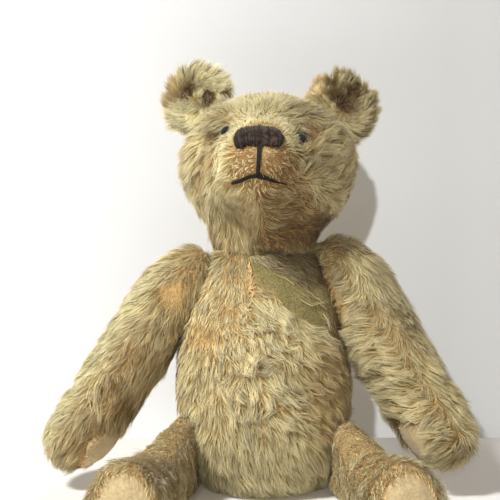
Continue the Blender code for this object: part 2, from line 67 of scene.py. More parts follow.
# ---- Measures, in metres where nothing else is said ----
MM = 0.001
AIM = np.array((-0.0050, 0.0450, 0.1520))
REACH = 0.800
VIEW_WIDTH = 0.320
LOOK_DOWN = math.radians(4.5)
ONWARD = np.array((0, math.cos(LOOK_DOWN), -math.sin(LOOK_DOWN)))
UPWARD = np.array((0, math.sin(LOOK_DOWN), math.cos(LOOK_DOWN)))
CAMERA = AIM - REACH * ONWARD

SKIN_CELL = 0.0022
SKIN_ROUNDS = 10
LEAST_HEIGHT = 0.0004
# The bear's sides, by the sign of X
WORD = {1: "left", -1: "right"}

# Front-view places in mm, across and up, as the camera sees them on the bear's plane
NOSE_TOP = ((-13.8, 223.0), (-12.2, 227.6), (-8.6, 230.2), (-3.2, 230.6), (0.6, 231.8),
            (4.4, 230.6), (10.0, 230.2), (13.6, 227.6), (15.4, 223.0))
NOSE_BOTTOM = ((-13.8, 216.6), (-11.6, 216.2), (-6.4, 218.8), (0.6, 218.4), (7.6, 217.8),
               (13.2, 217.4), (15.4, 219.5))
NOSE_AREA = ((-13.8, 216.4), (-13.8, 223.0), (-12.2, 227.8), (-8.6, 230.6), (-3.2, 231.6),
             (4.4, 231.6), (10.0, 230.6), (13.6, 227.8), (15.4, 223.0), (15.4, 218.5),
             (13.2, 216.8))
NOSE_MIDDLE = 0.6
MOUTH_HALF = 1.7
PHILTRUM = ((1.1, 219.0), (0.6, 210.0), (-0.1, 200.0))
MOUTH_LEFT = ((-0.1, 200.0), (-5.5, 199.3), (-11.0, 196.6), (-16.0, 195.0))
MOUTH_RIGHT = ((-0.1, 200.0), (5.2, 198.6), (11.0, 196.0), (18.0, 194.6))
BALD_CHEST = ((-7.0, 147.0), (50.0, 153.0), (58.0, 101.0), (49.5, 93.0), (40.0, 92.0),
              (24.0, 108.0), (-3.0, 122.5))
# Where the chin's shadow is painted on the chest
CHIN_SHADE = ((-2.5, 145.0), (2.0, 157.0), (40.0, 160.0), (42.0, 130.0), (31.0, 127.5))
# A line of painted shade between the trunk and the bear's left arm
ARMPIT = ((36.5, 147.0), (57.0, 91.0))
# Each as its middle, its half sizes and its turn in degrees
EAR_HOLLOWS = {
    -1: ((-44.9, 251.5, 3.8, 6.8, -20), (-32.6, 250.4, 4.6, 5.2, 0)),
    1: ((53.7, 247.2, 10, 5, -35), (60, 252.6, 6, 5, 0), (46.8, 258, 3.5, 3.5, 0)),
}
DARNING_STITCHES = 34
DARNING = ((-5.5, 143.0), (-4.0, 132.0), (-3.0, 124.0), (-6.0, 113.0))


def linear(red, green, blue):
    """A paint-chart colour, 0 to 255, as a light value."""
    parts = [c / 255 for c in (red, green, blue)]
    return tuple(c / 12.92 if c <= 0.04045 else ((c + 0.055) / 1.055) ** 2.4 for c in parts)


STRAW_TIP = linear(238, 232, 200)
STRAW = linear(202, 193, 145)
# Dark at the root: partly the colour of the ground, partly painted shade deep in the pile
STRAW_ROOT = linear(164, 130, 66)
THROUGH_STRAW = linear(200, 175, 121)
OCHRE = linear(204, 168, 106)
# The colour of soil, also used as painted shade: in the hollows of the eyes and ears, in the gaps
# beside the arm and under the jaw, and for the chin's shadow on the chest
SOIL_AND_SHADE = linear(104, 76, 46)
# Grey dust, also used as painted shade where the chin's shadow falls on the chest
GREY_DUST_AND_SHADE = linear(150, 146, 116)
BACKING_TAN = linear(202, 166, 110)
BACKING_KHAKI = linear(146, 133, 86)
BACKING_RUST = linear(134, 84, 46)

# ---- Finishes ----


class Value:
    """One output of a node. Arithmetic on it adds Math nodes."""

    def __init__(self, nodes, made, output=0):
        self.nodes, self.made, self.output = nodes, made, output

    def work(self, operation, *others, clamp=False):
        return self.nodes.node("Math", {"operation": operation, "use_clamp": clamp}, others)

    def __add__(self, other):
        return self.work("ADD", self, other)

    __radd__ = __add__

    def __sub__(self, other):
        return self.work("SUBTRACT", self, other)

    def __rsub__(self, other):
        return self.work("SUBTRACT", other, self)

    def __mul__(self, other):
        return self.work("MULTIPLY", self, other)

    __rmul__ = __mul__

    def held(self):
        """Kept between 0 and 1."""
        return self.work("ADD", self, 0.0, clamp=True)

    def wave(self):
        return self.work("SINE", self)


class Nodes:
    """A tree of shader nodes."""

    def __init__(self, tree):
        self.tree = tree
        tree.nodes.clear()

    def put(self, place, thing):
        if isinstance(thing, Value):
            self.tree.links.new(thing.made.outputs[thing.output], place)
        elif isinstance(thing, tuple) and len(thing) == 3 and place.type == "RGBA":
            place.default_value = (*thing, 1.0)
        else:
            place.default_value = thing

    def node(self, kind, settings=None, sockets=(), output=0, **named):
        """A node of any type: first its settings, a ramp's stops among them, and then the values
        or links of its sockets, by their numbers and by their names."""
        made = self.tree.nodes.new("ShaderNode" + kind)
        for key, setting in (settings or {}).items():
            if key == "stops":
                stops = made.color_ramp.elements
                while len(stops) < len(setting):
                    stops.new(0.5)
                for stop, (position, colour) in zip(stops, setting):
                    stop.position, stop.color = position, (*colour, 1.0)
            else:
                setattr(made, key, setting)
        places = sockets if isinstance(sockets, dict) else dict(enumerate(sockets))
        names = {words.replace("_", " "): thing for words, thing in named.items()}
        for place, thing in {**places, **names}.items():
            self.put(made.inputs[place], thing)
        return Value(self, made, output)

    def shared(self, share, one, two):
        """Two shaders, mixed by a share of the second."""
        return self.node("MixShader", sockets=(share, one, two))

    def seen(self):
        """1 where the eye looks straight, by a gloss or through glass, and 0 for other light."""
        rays = self.node("LightPath").made
        straight, gloss, glass = (Value(self, rays, "Is " + word + " Ray")
                                  for word in ("Camera", "Glossy", "Transmission"))
        return (straight + gloss + glass).held()


class Finish(Nodes):
    """A material with one Principled shader, whose fixed numbers are set on its own sockets."""

    def __init__(self, name, **fixed):
        self.material = bpy.data.materials.new(name)
        self.material.use_nodes = True
        super().__init__(self.material.node_tree)
        named = {words.title().replace("Ior", "IOR"): number for words, number in fixed.items()}
        shader = self.node("BsdfPrincipled", **named)
        self.shader = shader.made
        self.surface = self.node("OutputMaterial", Surface=shader).made.inputs["Surface"]

    def mark(self, name):
        """A number that the mesh carries at each point."""
        return self.node("Attribute", {"attribute_name": name}, output="Fac")

    def place(self, stretch=(1, 1, 1)):
        """Where a point lies on the object, stretched."""
        spot = self.node("TexCoord", output="Object")
        return self.node("VectorMath", {"operation": "MULTIPLY"}, (spot, stretch))

    def noise(self, scale, detail=2.0, stretch=(1, 1, 1), rough=0.5):
        return self.node("TexNoise", output="Fac", Vector=self.place(stretch), Scale=scale,
                         Detail=detail, Roughness=rough)

    def mix(self, share, one, two, way="MIX"):
        """Two colours mixed by a share of the second."""
        return self.node("Mix", {"data_type": "RGBA", "blend_type": way},
                         {0: share, 6: one, 7: two}, output=2)

    def shade(self, colour, amount):
        """A colour made darker or lighter by a number round 1."""
        return self.node("VectorMath", {"operation": "SCALE"}, (colour,), Scale=amount)

    def between(self, value, low, high):
        """0 under low, 1 over high."""
        return self.node("MapRange", {"clamp": True}, (value, low, high))

    def relief(self, height, distance, strength):
        bump = self.node("Bump", Height=height, Distance=distance, Strength=strength)
        self.put(self.shader.inputs["Normal"], bump)

    def mixed(self, share, kind, colour):
        """A share of another shader, of the given colour, over this one."""
        last = Value(self, self.surface.links[0].from_node)
        self.put(self.surface, self.shared(share, last, self.node(kind, Color=colour)))

    def colour(self, thing):
        self.put(self.shader.inputs["Base Color"], thing)

    def roughness(self, thing):
        self.put(self.shader.inputs["Roughness"], thing)


def pile_finish(name):
    """Combed mohair: dark at the root, partly as painted shade deep in the pile, pale at the tip,
    with ochre, soiled and dusty places, and painted shade and light where its marks carry them.
    """
    f = Finish(name, roughness=0.55, specular_ior_level=0.25, sheen_weight=0.25,
               sheen_roughness=0.40)
    along, tint = f.mark("along"), f.mark("tint")
    stops = (0.0, STRAW_ROOT), (0.42, STRAW), (1.0, STRAW_TIP)
    base = f.node("ValToRGB", {"stops": stops}, (along,))
    base = f.mix(f.mark("ochre"), base, f.mix(along, BACKING_TAN, OCHRE))
    base = f.mix(f.mark("dust"), base, GREY_DUST_AND_SHADE)
    base = f.mix(f.mark("soil"), base, SOIL_AND_SHADE)
    f.colour(f.shade(base, 0.58 + tint * 0.84 + (f.noise(70, 3) - 0.5) * 0.35))
    f.roughness(0.48 + f.noise(400) * 0.2)
    # Light that comes through the strands is yellower
    f.mixed(0.25, "BsdfTranslucent", THROUGH_STRAW)
    return f.material


def backing_finish(name):
    """The woven ground of the mohair, bare where the pile has gone."""
    f = Finish(name, roughness=0.9, specular_ior_level=0.15, sheen_weight=0.10)
    warp, weft = (f.node("TexWave", {"wave_type": "BANDS", "bands_direction": way}, output="Fac",
                         Vector=f.place(), Scale=430.0, Distortion=1.6, Detail=2.0)
                  for way in "XZ")
    weave = warp * 0.5 + weft * 0.5
    base = f.mix(f.mark("khaki"), BACKING_TAN, BACKING_KHAKI)
    base = f.mix(f.mark("rust"), base, BACKING_RUST)
    # Soil, and painted shade where the chin's shadow falls
    base = f.mix(f.mark("soil"), base, SOIL_AND_SHADE)
    specks = f.between(f.noise(900, 3, rough=0.7), 0.34, 0.66)
    base = f.shade(base, 0.38 + weave * 0.20 + specks * 0.68 + (f.noise(45, 3) - 0.5) * 0.5)
    # The dark mark is painted shade, in the hollows of the ears
    f.colour(f.shade(base, 1.0 - f.mark("dark") * 0.72))
    f.relief(weave + f.noise(1500) * 0.8, 0.0005, 0.7)
    return f.material


def floss_finish(name, dark, sheen):
    """Embroidery floss: dark, a little glossy, with its fibres lying along the stitch; painted
    shade darkens it between its fibres, and a paler colour in patches is painted sheen and wear.
    """
    f = Finish(name, roughness=0.5, specular_ior_level=0.16)
    fibres = (f.mark("around") * 31.0 + f.mark("along") * 5.0).wave() * 0.5 + 0.5
    wear_and_sheen = f.between(f.noise(420, 3), 0.42, 0.72) * f.mark("sheen")
    f.colour(f.shade(f.mix(wear_and_sheen, dark, sheen), 0.05 + fibres * 0.85 + f.mark("tint") * 1.15))
    f.roughness(0.46 + fibres * 0.22)
    f.relief(fibres, 0.0002, 0.6)
    return f.material


def plain_finish(name, low, high, scale, depth, roughness, stretch=(1, 1, 1), **fixed):
    """A finish that wanders between two colours, with a relief of the same grain."""
    f = Finish(name, **fixed)
    grain = f.noise(scale, 4, stretch)
    f.colour(f.mix(f.between(grain, 0.3, 0.7), low, high))
    f.roughness(roughness - 0.08 + grain * 0.16)
    f.relief(grain, depth, 0.8)
    return f.material


MOHAIR_PILE = pile_finish("mohair_pile")
BACKING = backing_finish("woven_backing")
NOSE_FLOSS = floss_finish("nose_floss", linear(31, 23, 18), linear(98, 76, 62))
MOUTH_FLOSS = floss_finish("mouth_floss", linear(28, 26, 24), linear(52, 48, 44))
DARNING_THREAD = floss_finish("darning_thread", linear(214, 176, 122), linear(238, 214, 170))
FELT = plain_finish("worn_felt", linear(168, 146, 108), linear(198, 176, 134), 700, 0.0004, 0.95,
                    sheen_weight=0.2)
BUTTON = plain_finish("boot_button", linear(10, 9, 9), linear(24, 20, 18), 220, 0.00005, 0.16,
                      specular_ior_level=0.25, coat_weight=0.10, coat_roughness=0.10)
WOOD_WOOL = plain_finish("wood_wool", linear(176, 146, 96), linear(214, 190, 140), 260, 0.001, 0.85,
                         stretch=(1, 1, 6))
BOARD = plain_finish("pressed_board", linear(96, 72, 48), linear(128, 98, 66), 500, 0.0003, 0.85)
STEEL = plain_finish("old_steel", linear(120, 116, 110), linear(168, 164, 158), 300, 0.0001, 0.42,
                     metallic=1.0)

# ---- Points and masks ----


def unit(v):
    return v / np.maximum(np.linalg.norm(v, axis=-1, keepdims=True), 1e-12)


def eased(low, high, x):
    """0 before low, 1 past high, with a soft start and end. Low may be the larger."""
    t = np.clip((x - low) / (high - low), 0, 1)
    return t * t * (3 - 2 * t)


def ripple(points, size, seed):
    """A smooth wander of about -1 to 1 over the points, with swells of about that size."""
    draw = np.random.default_rng(seed)
    total = 0
    for _ in range(8):
        way = unit(draw.normal(size=3)) * 2 * np.pi / (size * draw.uniform(0.7, 1.6))
        total = total + np.sin(points @ way + draw.uniform(0, 2 * np.pi))
    return np.clip(total / 3.2, -1, 1)


def front_view(points):
    """Where points appear from the front, in mm across and up on the bear's plane."""
    away = points - CAMERA
    scale = REACH / (away @ ONWARD)
    return (AIM[0] + away[:, 0] * scale) / MM, (AIM[2] + (away @ UPWARD) * scale) / MM


class Spots:
    """Points on a skin, with the ways to mark out areas among them."""

    def __init__(self, at, out):
        self.at, self.out = at, out
        self.u, self.w = front_view(at)
        self.front = eased(-0.10, 0.40, -out[:, 1])
        self.wander = ripple(at, 0.012, 11)

    def oval(self, u, w, half_u, half_w, turn=0.0, edge=0.5):
        """Inside an oval, turned by degrees, whose edge is soft by that share of its size."""
        a = math.radians(turn)
        du, dw = self.u - u, self.w - w
        x = (du * math.cos(a) + dw * math.sin(a)) / half_u
        y = (dw * math.cos(a) - du * math.sin(a)) / half_w
        return self.front * (1 - eased(1 - edge, 1 + edge, np.hypot(x, y) + 0.15 * self.wander))

    def area(self, corners, edge=2.5):
        """Inside a convex outline, corners in order."""
        corners = np.array(corners)
        after = np.roll(corners, -1, axis=0)
        middle = corners.mean(0)
        deep = np.full(len(self.u), -1e9)
        for a, b in zip(corners, after):
            n = np.array((b[1] - a[1], a[0] - b[0]))
            n = n / np.linalg.norm(n)
            if (middle - a) @ n > 0:
                n = -n
            deep = np.maximum(deep, (self.u - a[0]) * n[0] + (self.w - a[1]) * n[1])
        return self.front * (1 - eased(-edge, edge, deep + 1.2 * self.wander))

    def stripe(self, start, end, half_width, edge=0.4):
        """Along a line from start to end."""
        a, b = np.array(start), np.array(end)
        p = np.stack((self.u, self.w), 1) - a
        part = np.clip((p @ (b - a)) / ((b - a) @ (b - a)), 0, 1)
        away = np.linalg.norm(p - part[:, None] * (b - a), axis=1) / half_width
        return self.front * (1 - eased(1 - edge, 1 + edge, away))

    def away_from(self, u, w, back):
        """The way of each point from a front-view place that lies so many mm before it."""
        return unit(np.stack((self.u - u, np.full(len(self.u), back), self.w - w), 1))

    def beside(self, start, end):
        """How far to the right of a line, in mm, looking from start to end."""
        a, b = np.array(start), np.array(end)
        d = (b - a) / np.linalg.norm(b - a)
        return (self.u - a[0]) * d[1] - (self.w - a[1]) * d[0]


def toward(across, up, back=0.0):
    """A way along the bear's left, up and back."""
    return unit(np.array((across, back, up), float))


# ---- Meshes ----


def fill(items, word, values, kind=np.float32):
    """Sets one property of every item of a mesh."""
    items.foreach_set(word, np.asarray(values, kind).ravel())


def taken(items, word, width, kind=np.int32):
    """One property of every item of a mesh, a row for each."""
    values = np.empty(len(items) * width, kind)
    items.foreach_get(word, values)
    return values.reshape(-1, width)


def mesh_arrays(mesh):
    """The points and triangles of a mesh."""
    mesh.calc_loop_triangles()
    points = taken(mesh.vertices, "co", 3, np.float32).astype(float)
    return points, taken(mesh.loop_triangles, "vertices", 3)


def new_object(name, points, faces, material, marks=None, shading=None):
    """A piece from points and faces, with marks and shading normals on its points."""
    faces = faces if isinstance(faces, list) else [faces]
    sizes = np.concatenate([np.full(len(f), f.shape[1]) for f in faces])
    mesh = bpy.data.meshes.new(name)
    mesh.vertices.add(len(points))
    mesh.loops.add(int(sizes.sum()))
    mesh.polygons.add(len(sizes))
    fill(mesh.vertices, "co", points)
    fill(mesh.loops, "vertex_index", np.concatenate([f.ravel() for f in faces]), np.int32)
    fill(mesh.polygons, "loop_start", np.cumsum(sizes) - sizes, np.int32)
    fill(mesh.polygons, "loop_total", sizes, np.int32)
    mesh.update(calc_edges=True)
    fill(mesh.polygons, "use_smooth", np.ones(len(sizes)), bool)
    for word, values in (marks or {}).items():
        fill(mesh.attributes.new(word, "FLOAT", "POINT").data, "value", values)
    if shading is not None:
        layer = mesh.attributes.new("custom_normal", "FLOAT_VECTOR", "POINT")
        fill(layer.data, "vector", shading)
    mesh.materials.append(material)
    made = bpy.data.objects.new(name, mesh)
    bpy.context.scene.collection.objects.link(made)
    return made


def fasten(piece, body, slot, *nodes):
    """Every piece rides on a body and may stand for CAD nodes, which it hides; its slot is not
    used.
    """
    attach(piece, body)
    if nodes:
        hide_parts(*nodes)


def gathered(index, rows, count):
    """For each of count points, the sum of the rows that have its index."""
    return np.stack([np.bincount(index, column, count) for column in rows.T], 1)


class Skin:
    """A woven skin, laid over the CAD nodes of one stuffed part and evened out."""

    def __init__(self, nodes, cell=SKIN_CELL, rounds=SKIN_ROUNDS):
        points, faces = zip(*(mesh_arrays(frame["nodes"][name].data) for name in nodes))
        starts = np.cumsum([0] + [len(p) for p in points])
        faces = [f + start for f, start in zip(faces, starts)]
        lump = new_object("lump", np.concatenate(points), np.concatenate(faces), BACKING)
        cover = lump.modifiers.new("cover", "REMESH")
        cover.mode, cover.voxel_size = "VOXEL", cell
        made = bpy.data.meshes.new_from_object(
            lump.evaluated_get(bpy.context.evaluated_depsgraph_get()))
        bpy.data.objects.remove(lump)
        self.points, _ = mesh_arrays(made)
        self.quads = taken(made.polygons, "vertices", 4)
        bpy.data.meshes.remove(made)
        self.outer_only()
        self.ends = np.concatenate([self.quads[:, (k, (k + 1) % 4)] for k in range(4)])
        self.count = np.bincount(self.ends.ravel(), minlength=len(self.points))
        self.even_out(rounds)

    def outer_only(self):
        """Keeps the largest closed surface and drops what lies inside it."""
        label = np.arange(len(self.points))
        while True:
            low = label[self.quads].min(1)
            fresh = label.copy()
            for k in range(4):
                np.minimum.at(fresh, self.quads[:, k], low)
            fresh = fresh[fresh]
            if (fresh == label).all():
                break
            label = fresh
        groups, sizes = np.unique(label, return_counts=True)
        kept = label == groups[sizes.argmax()]
        index = np.cumsum(kept) - 1
        self.quads = index[self.quads[kept[self.quads[:, 0]]]]
        self.points = self.points[kept]

    def pull(self):
        """From each point to the middle of its neighbours."""
        a, b = self.ends.T
        total = (gathered(a, self.points[b], len(self.points))
                 + gathered(b, self.points[a], len(self.points)))
        return total / self.count[:, None] - self.points

    def even_out(self, rounds):
        """Smooths the skin, and lets it out again so that it keeps its size."""
        for _ in range(rounds):
            self.points = self.points + 0.50 * self.pull()
            self.points = self.points - 0.52 * self.pull()

    def triangles(self):
        """The skin as triangles, and the normal of each, as long as twice its area."""
        triangles = np.concatenate((self.quads[:, (0, 1, 2)], self.quads[:, (0, 2, 3)]))
        a, b, c = self.points[triangles.T]
        return triangles, np.cross(b - a, c - a)

    def normals(self):
        triangles, flat = self.triangles()
        return unit(sum(gathered(corner, flat, len(self.points)) for corner in triangles.T))

    def spots(self):
        return Spots(self.points, self.normals())

    def push(self, depth):
        """Moves each point out by its own depth in mm."""
        self.points = self.points + self.normals() * (depth * MM)[:, None]

    def area(self):
        a, b, c, d = self.points[self.quads.T]
        return np.linalg.norm(np.cross(c - a, d - b), axis=1).sum() / 2

    def tree(self):
        return BVHTree.FromPolygons(self.points.tolist(), self.quads.tolist())


def cast_on(tree, across, up):
    """The point of a skin seen at a front-view place, with the way out of the skin there."""
    end = REACH * ONWARD + (up * MM - AIM[2]) * UPWARD
    end[0] += across * MM - AIM[0]
    spot, out, _, _ = tree.ray_cast(Vector(CAMERA), Vector(unit(end)))
    return np.array(spot), np.array(out)


# ---- Pile ----

# Each strand is a ribbon through these stations, root to tip, that narrows to a point
STATIONS = np.array((0.0, 0.48, 1.0))
WIDTHS = np.array((0.80, 1.0, 0.0))
RIBBON = 0.30 * MM
WISP = 1.8
CURL_PITCH = 0.0090
PILE_LEAST_HEIGHT = 0.0006
STRAY_SHARE = 0.07
# How a pile grows where nothing else is said: mm, degrees and shares
GROWTH = dict(length=11.0, lift=52.0, keep=1.0, curl=0.5, fine=0.24, locked=0.22, ochre=0.0,
              soil=0.0, dust=0.0, bright=0.0, vary=1.0)


class Nap:
    """How the pile lies and grows at each root."""

    def __init__(self, spots, lay, **growth):
        self.spots = spots
        self.lay = np.broadcast_to(lay, spots.at.shape).astype(float).copy()
        for name, value in {**GROWTH, **growth}.items():
            setattr(self, name, np.zeros(len(spots.at)) + value)

    def blend(self, mask, way=None, firm=1.0, **growth):
        """Where the mask is, lays the pile more or less firmly a way, and grows it otherwise."""
        if way is not None:
            turned = (mask * firm)[:, None]
            way = toward(*way) if isinstance(way, tuple) else way
            self.lay = unit(self.lay * (1 - turned) + way * turned)
        for name, value in growth.items():
            setattr(self, name, getattr(self, name) * (1 - mask) + value * mask)

    def oval(self, u, w, half_u, half_w, turn=0.0, edge=0.5, **to):
        self.blend(self.spots.oval(u, w, half_u, half_w, turn, edge), **to)

    def stripe(self, start, end, half_width, edge=0.5, **to):
        self.blend(self.spots.stripe(start, end, half_width, edge), **to)


def nearest(points, centres):
    """Which centre is nearest to each point."""
    tree = KDTree(len(centres))
    for i, c in enumerate(centres):
        tree.insert(c, i)
    tree.balance()
    return np.array([tree.find(p)[1] for p in points])


def leaning(one, other, angle):
    """A way between two square ones, at an angle from the first."""
    return one * np.cos(angle)[:, None] + other * np.sin(angle)[:, None]


def scatter(skin, count, draw):
    """Roots spread evenly by area, with the skin's normals there."""
    triangles, flat = skin.triangles()
    size = np.linalg.norm(flat, axis=1)
    edges = np.cumsum(size) / size.sum()
    face = np.searchsorted(edges, (np.arange(count) + draw.random(count)) / count)
    face = np.minimum(face, len(triangles) - 1)
    r, s = np.sqrt(draw.random(count)), draw.random(count)
    parts = np.stack((1 - r, r * (1 - s), r * s), 1)
    at, out = ((values[triangles[face]] * parts[:, :, None]).sum(1)
               for values in (skin.points, skin.normals()))
    return at, unit(out)


def on_pad(node, points):
    """1 over a felt pad, 0 a little off its edge."""
    tree = BVHTree.FromPolygons(*(part.tolist() for part in mesh_arrays(frame["nodes"][node].data)))
    gap = np.array([tree.find_nearest(p)[3] for p in points.tolist()])
    return 1 - eased(1.2 * MM, 2.2 * MM, gap)


def grow_pile(name, body, skin, comb, count, seed, lock, pads=()):
    """Strands on a skin: flat ribbons in fine wisps, in locks, that lie as they are combed."""
    draw = np.random.default_rng(seed)
    at, out = scatter(skin, count, draw)
    nap = comb(Spots(at, out))
    for pad in pads:
        nap.blend(on_pad(pad, at), keep=0.0)
    kept = draw.random(count) < nap.keep
    at, out = at[kept], out[kept]
    lay, length, lift, _, curl, fine, locked, ochre, soil, dust, bright, vary = (
        getattr(nap, word)[kept] for word in ("lay", *GROWTH))
    n = len(at)

    # One strand in each wisp leads it, and one wisp in each lock leads that
    room = skin.area()
    small = draw.choice(n, min(n // 2, int(room / (WISP * MM) ** 2)), replace=False)
    large = draw.choice(small, min(len(small) // 2, int(room / (lock * MM) ** 2)), replace=False)
    in_wisp, in_lock = nearest(at, at[small]), nearest(at, at[large])
    wisp_draw = draw.normal(size=(len(small), 5))[in_wisp]
    lock_draw = draw.normal(size=(len(large), 5))[in_lock]
    own = draw.normal(size=(n, 6))

    flat = unit(lay - (lay * out).sum(1, keepdims=True) * out)
    side = np.cross(out, flat)
    stray = 1 + 2.5 * (draw.random(n) < STRAY_SHARE)
    swing = (0.34 * ripple(at, 0.024, seed + 1) + 0.14 * stray * own[:, 0]
             + vary * (0.14 * lock_draw[:, 0] + 0.13 * wisp_draw[:, 0]))
    flat = unit(leaning(flat, side, swing))
    side = np.cross(out, flat)
    long = 1 + 0.12 * lock_draw[:, 1] + 0.08 * wisp_draw[:, 1] + 0.14 * own[:, 1]
    length = length * MM * np.clip(long, 0.4, 1.6)
    start = np.radians(np.clip(lift + 6 * ripple(at, 0.014, seed + 2) + 5 * lock_draw[:, 2]
                               + 6 * wisp_draw[:, 2] + 8 * own[:, 2], 8, 86))
    rest = start * 0.16

    # Each strand rises from its root and bends over towards its tip
    path = np.empty((n, len(STATIONS), 3))
    path[:, 0] = at
    for k in range(1, len(STATIONS)):
        middle = (STATIONS[k] + STATIONS[k - 1]) / 2
        angle = rest + (start - rest) * (1 - middle) ** 1.7
        step = length * (STATIONS[k] - STATIONS[k - 1])
        path[:, k] = path[:, k - 1] + leaning(flat, out, angle) * step[:, None]
    phase = 2 * np.pi * (lock_draw[:, 3] * 0.4 + 0.15 * wisp_draw[:, 3] + 0.05 * own[:, 3])
    for k, s in list(enumerate(STATIONS))[1:]:
        turn = phase + s * length / CURL_PITCH * 2 * np.pi
        path[:, k] += side * (np.sin(turn) * curl * 1.1 * MM * s)[:, None]
        path[:, k] += out * (np.cos(turn) * curl * 0.35 * MM * s)[:, None]

    # The leaders draw the strands round them to their own tips
    for leader, size, strength in ((small[in_wisp], WISP, fine), (large[in_lock], lock, locked)):
        lead = path[leader].copy()
        gap = np.linalg.norm(at - at[leader], axis=1)
        hold = strength * (1 - eased(0.8 * size * MM, 1.7 * size * MM, gap))
        hold = hold * np.clip(1 + 0.25 * own[:, 4], 0.3, 1.25)
        for k in range(1, len(STATIONS)):
            share = np.clip(hold * STATIONS[k] ** 1.3, 0, 0.95)[:, None]
            path[:, k] += (lead[:, k] - path[:, k]) * share
    path[:, :, 2] = np.maximum(path[:, :, 2], PILE_LEAST_HEIGHT)

    # Flat ribbons, facing mostly out of the skin
    ways = np.gradient(path, axis=1)
    across = unit(np.cross(ways, leaning(out, side, 0.70 * own[:, 5])[:, None, :]))
    soft = unit(0.6 * out[:, None] + 0.4 * unit(np.cross(across, ways)))
    wide = RIBBON * np.clip(1 + 0.25 * draw.normal(size=n), 0.5, 1.6)
    half = across * (wide[:, None] * WIDTHS[None, :] / 2)[:, :, None]
    last = len(STATIONS) - 1
    tip = 2 * last
    steps = tip + 1
    points, shading = np.empty((2, n, steps, 3))
    points[:, 0:tip:2] = (path - half)[:, :last]
    points[:, 1:tip:2] = (path + half)[:, :last]
    points[:, tip] = path[:, last]
    shading[:, 0:tip] = np.repeat(soft[:, :last], 2, axis=1)
    shading[:, tip] = soft[:, last]
    base = np.arange(n)[:, None] * steps
    quads = np.concatenate([base + np.array((0, 1, 3, 2)) + 2 * k for k in range(last - 1)])
    tips = base + np.array((tip - 2, tip - 1, tip))

    along = np.repeat(STATIONS[:last], 2).tolist() + [1.0]
    tint = 0.5 + bright + vary * (
        0.13 * lock_draw[:, 4] + 0.11 * wisp_draw[:, 4] + 0.13 * own[:, 2])
    marks = {"along": np.tile(along, n), "tint": np.repeat(np.clip(tint, 0, 1), steps)}
    for key, values in (("ochre", ochre), ("soil", soil), ("dust", dust)):
        marks[key] = np.repeat(np.clip(values * (1 + 0.3 * own[:, 3]), 0, 1), steps)
    piece = new_object(name, points.reshape(-1, 3), [quads, tips], MOHAIR_PILE, marks, shading)
    bake_map(piece, n, last)
    fasten(piece, body, "mohair")


def bake_map(piece, n, last):
    """A cell of the map for each strand, root to tip."""
    columns = math.ceil(math.sqrt(2 * n))
    rows = math.ceil(n / columns)
    i = np.arange(n)
    low = np.stack((i % columns / columns, i // columns / rows), 1)[:, None]
    size = np.array((1 / columns, 1 / rows))
    tall = STATIONS * 0.7 + 0.15
    cells = [((0.2, a), (0.8, a), (0.8, b), (0.2, b)) for a, b in zip(tall[:last - 1], tall[1:])]
    cells.append(((0.2, tall[last - 1]), (0.8, tall[last - 1]), (0.5, tall[last])))
    corners = [(low + np.array(cell)[None] * size).reshape(-1, 2) for cell in cells]
    fill(piece.data.uv_layers.new(name="OFBake").uv, "vector", np.concatenate(corners))


# ---- Thread ----

THREAD_FLATNESS = 0.75


class ThreadWork:
    """Threads gathered into one piece."""

    def __init__(self, sides=6):
        self.points, self.faces, self.sides = [], [], sides
        self.marks = {"along": [], "around": [], "tint": [], "sheen": []}
        self.total = 0

    def add(self, path, outs, radius, tint, sheen, ends=0.35):
        """A round thread along a path, a little flattened, that thins at its ends."""
        path = np.asarray(path, float)
        ways = unit(np.gradient(path, axis=0))
        side = unit(np.cross(ways, unit(np.asarray(outs, float))))
        up = np.cross(side, ways)
        count, m = len(path), self.sides
        s = np.linspace(0, 1, count)
        swell = np.minimum(1, ends + (1 - ends) * np.minimum(s, 1 - s) * 8)
        a = np.arange(m) * 2 * np.pi / m
        ring = (side[:, None] * np.cos(a)[None, :, None]
                + up[:, None] * np.sin(a)[None, :, None] * THREAD_FLATNESS)
        self.points.append((path[:, None] + ring * (radius * swell)[:, None, None]).reshape(-1, 3))
        self.points.append(path[[0, -1]])
        whole = count * m
        i, j = np.arange(count - 1)[:, None] * m, np.arange(m)
        after = (j + 1) % m
        quads = np.stack((i + j, i + after, i + m + after, i + m + j), -1).reshape(-1, 4)
        start = np.stack((np.full(m, whole), after, j), 1)
        end = np.stack((np.full(m, whole + 1), whole - m + j, whole - m + after), 1)
        self.faces += [quads + self.total, np.concatenate((start, end)) + self.total]
        for name, values in (("along", [*np.repeat(s, m), 0.0, 1.0]),
                             ("around", [*np.tile(np.abs(a / np.pi - 1), count), 0.5, 0.5]),
                             ("tint", [tint] * (whole + 2)), ("sheen", [sheen] * (whole + 2))):
            self.marks[name] += values
        self.total += whole + 2

    def lay(self, tree, places, steps, height, radius, **looks):
        """A thread over a skin, through front-view places, at a height above it in mm."""
        places = np.asarray(places, float)
        s = np.linspace(0, len(places) - 1, steps)
        low = np.minimum(s.astype(int), len(places) - 2)
        part = (s - low)[:, None]
        before = places[np.maximum(low - 1, 0)]
        a, b = places[low], places[low + 1]
        after = places[np.minimum(low + 2, len(places) - 1)]
        curve = 0.5 * (2 * a + (b - before) * part
                       + (2 * before - 5 * a + 4 * b - after) * part ** 2
                       + (3 * a - before - 3 * b + after) * part ** 3)
        spots, outs = (np.array(row) for row in zip(*(cast_on(tree, u, w) for u, w in curve)))
        for _ in range(3):
            for row in (spots, outs):
                row[1:-1] = (row[:-2] + 2 * row[1:-1] + row[2:]) / 4
        outs = unit(outs)
        raised = outs * np.broadcast_to(np.asarray(height) * MM, steps)[:, None]
        self.add(spots + raised, outs, radius, **looks)

    def finished(self, name, material):
        faces = [np.concatenate([f for f in self.faces if f.shape[1] == size]) for size in (4, 3)]
        return new_object(name, np.concatenate(self.points), faces, material, self.marks)
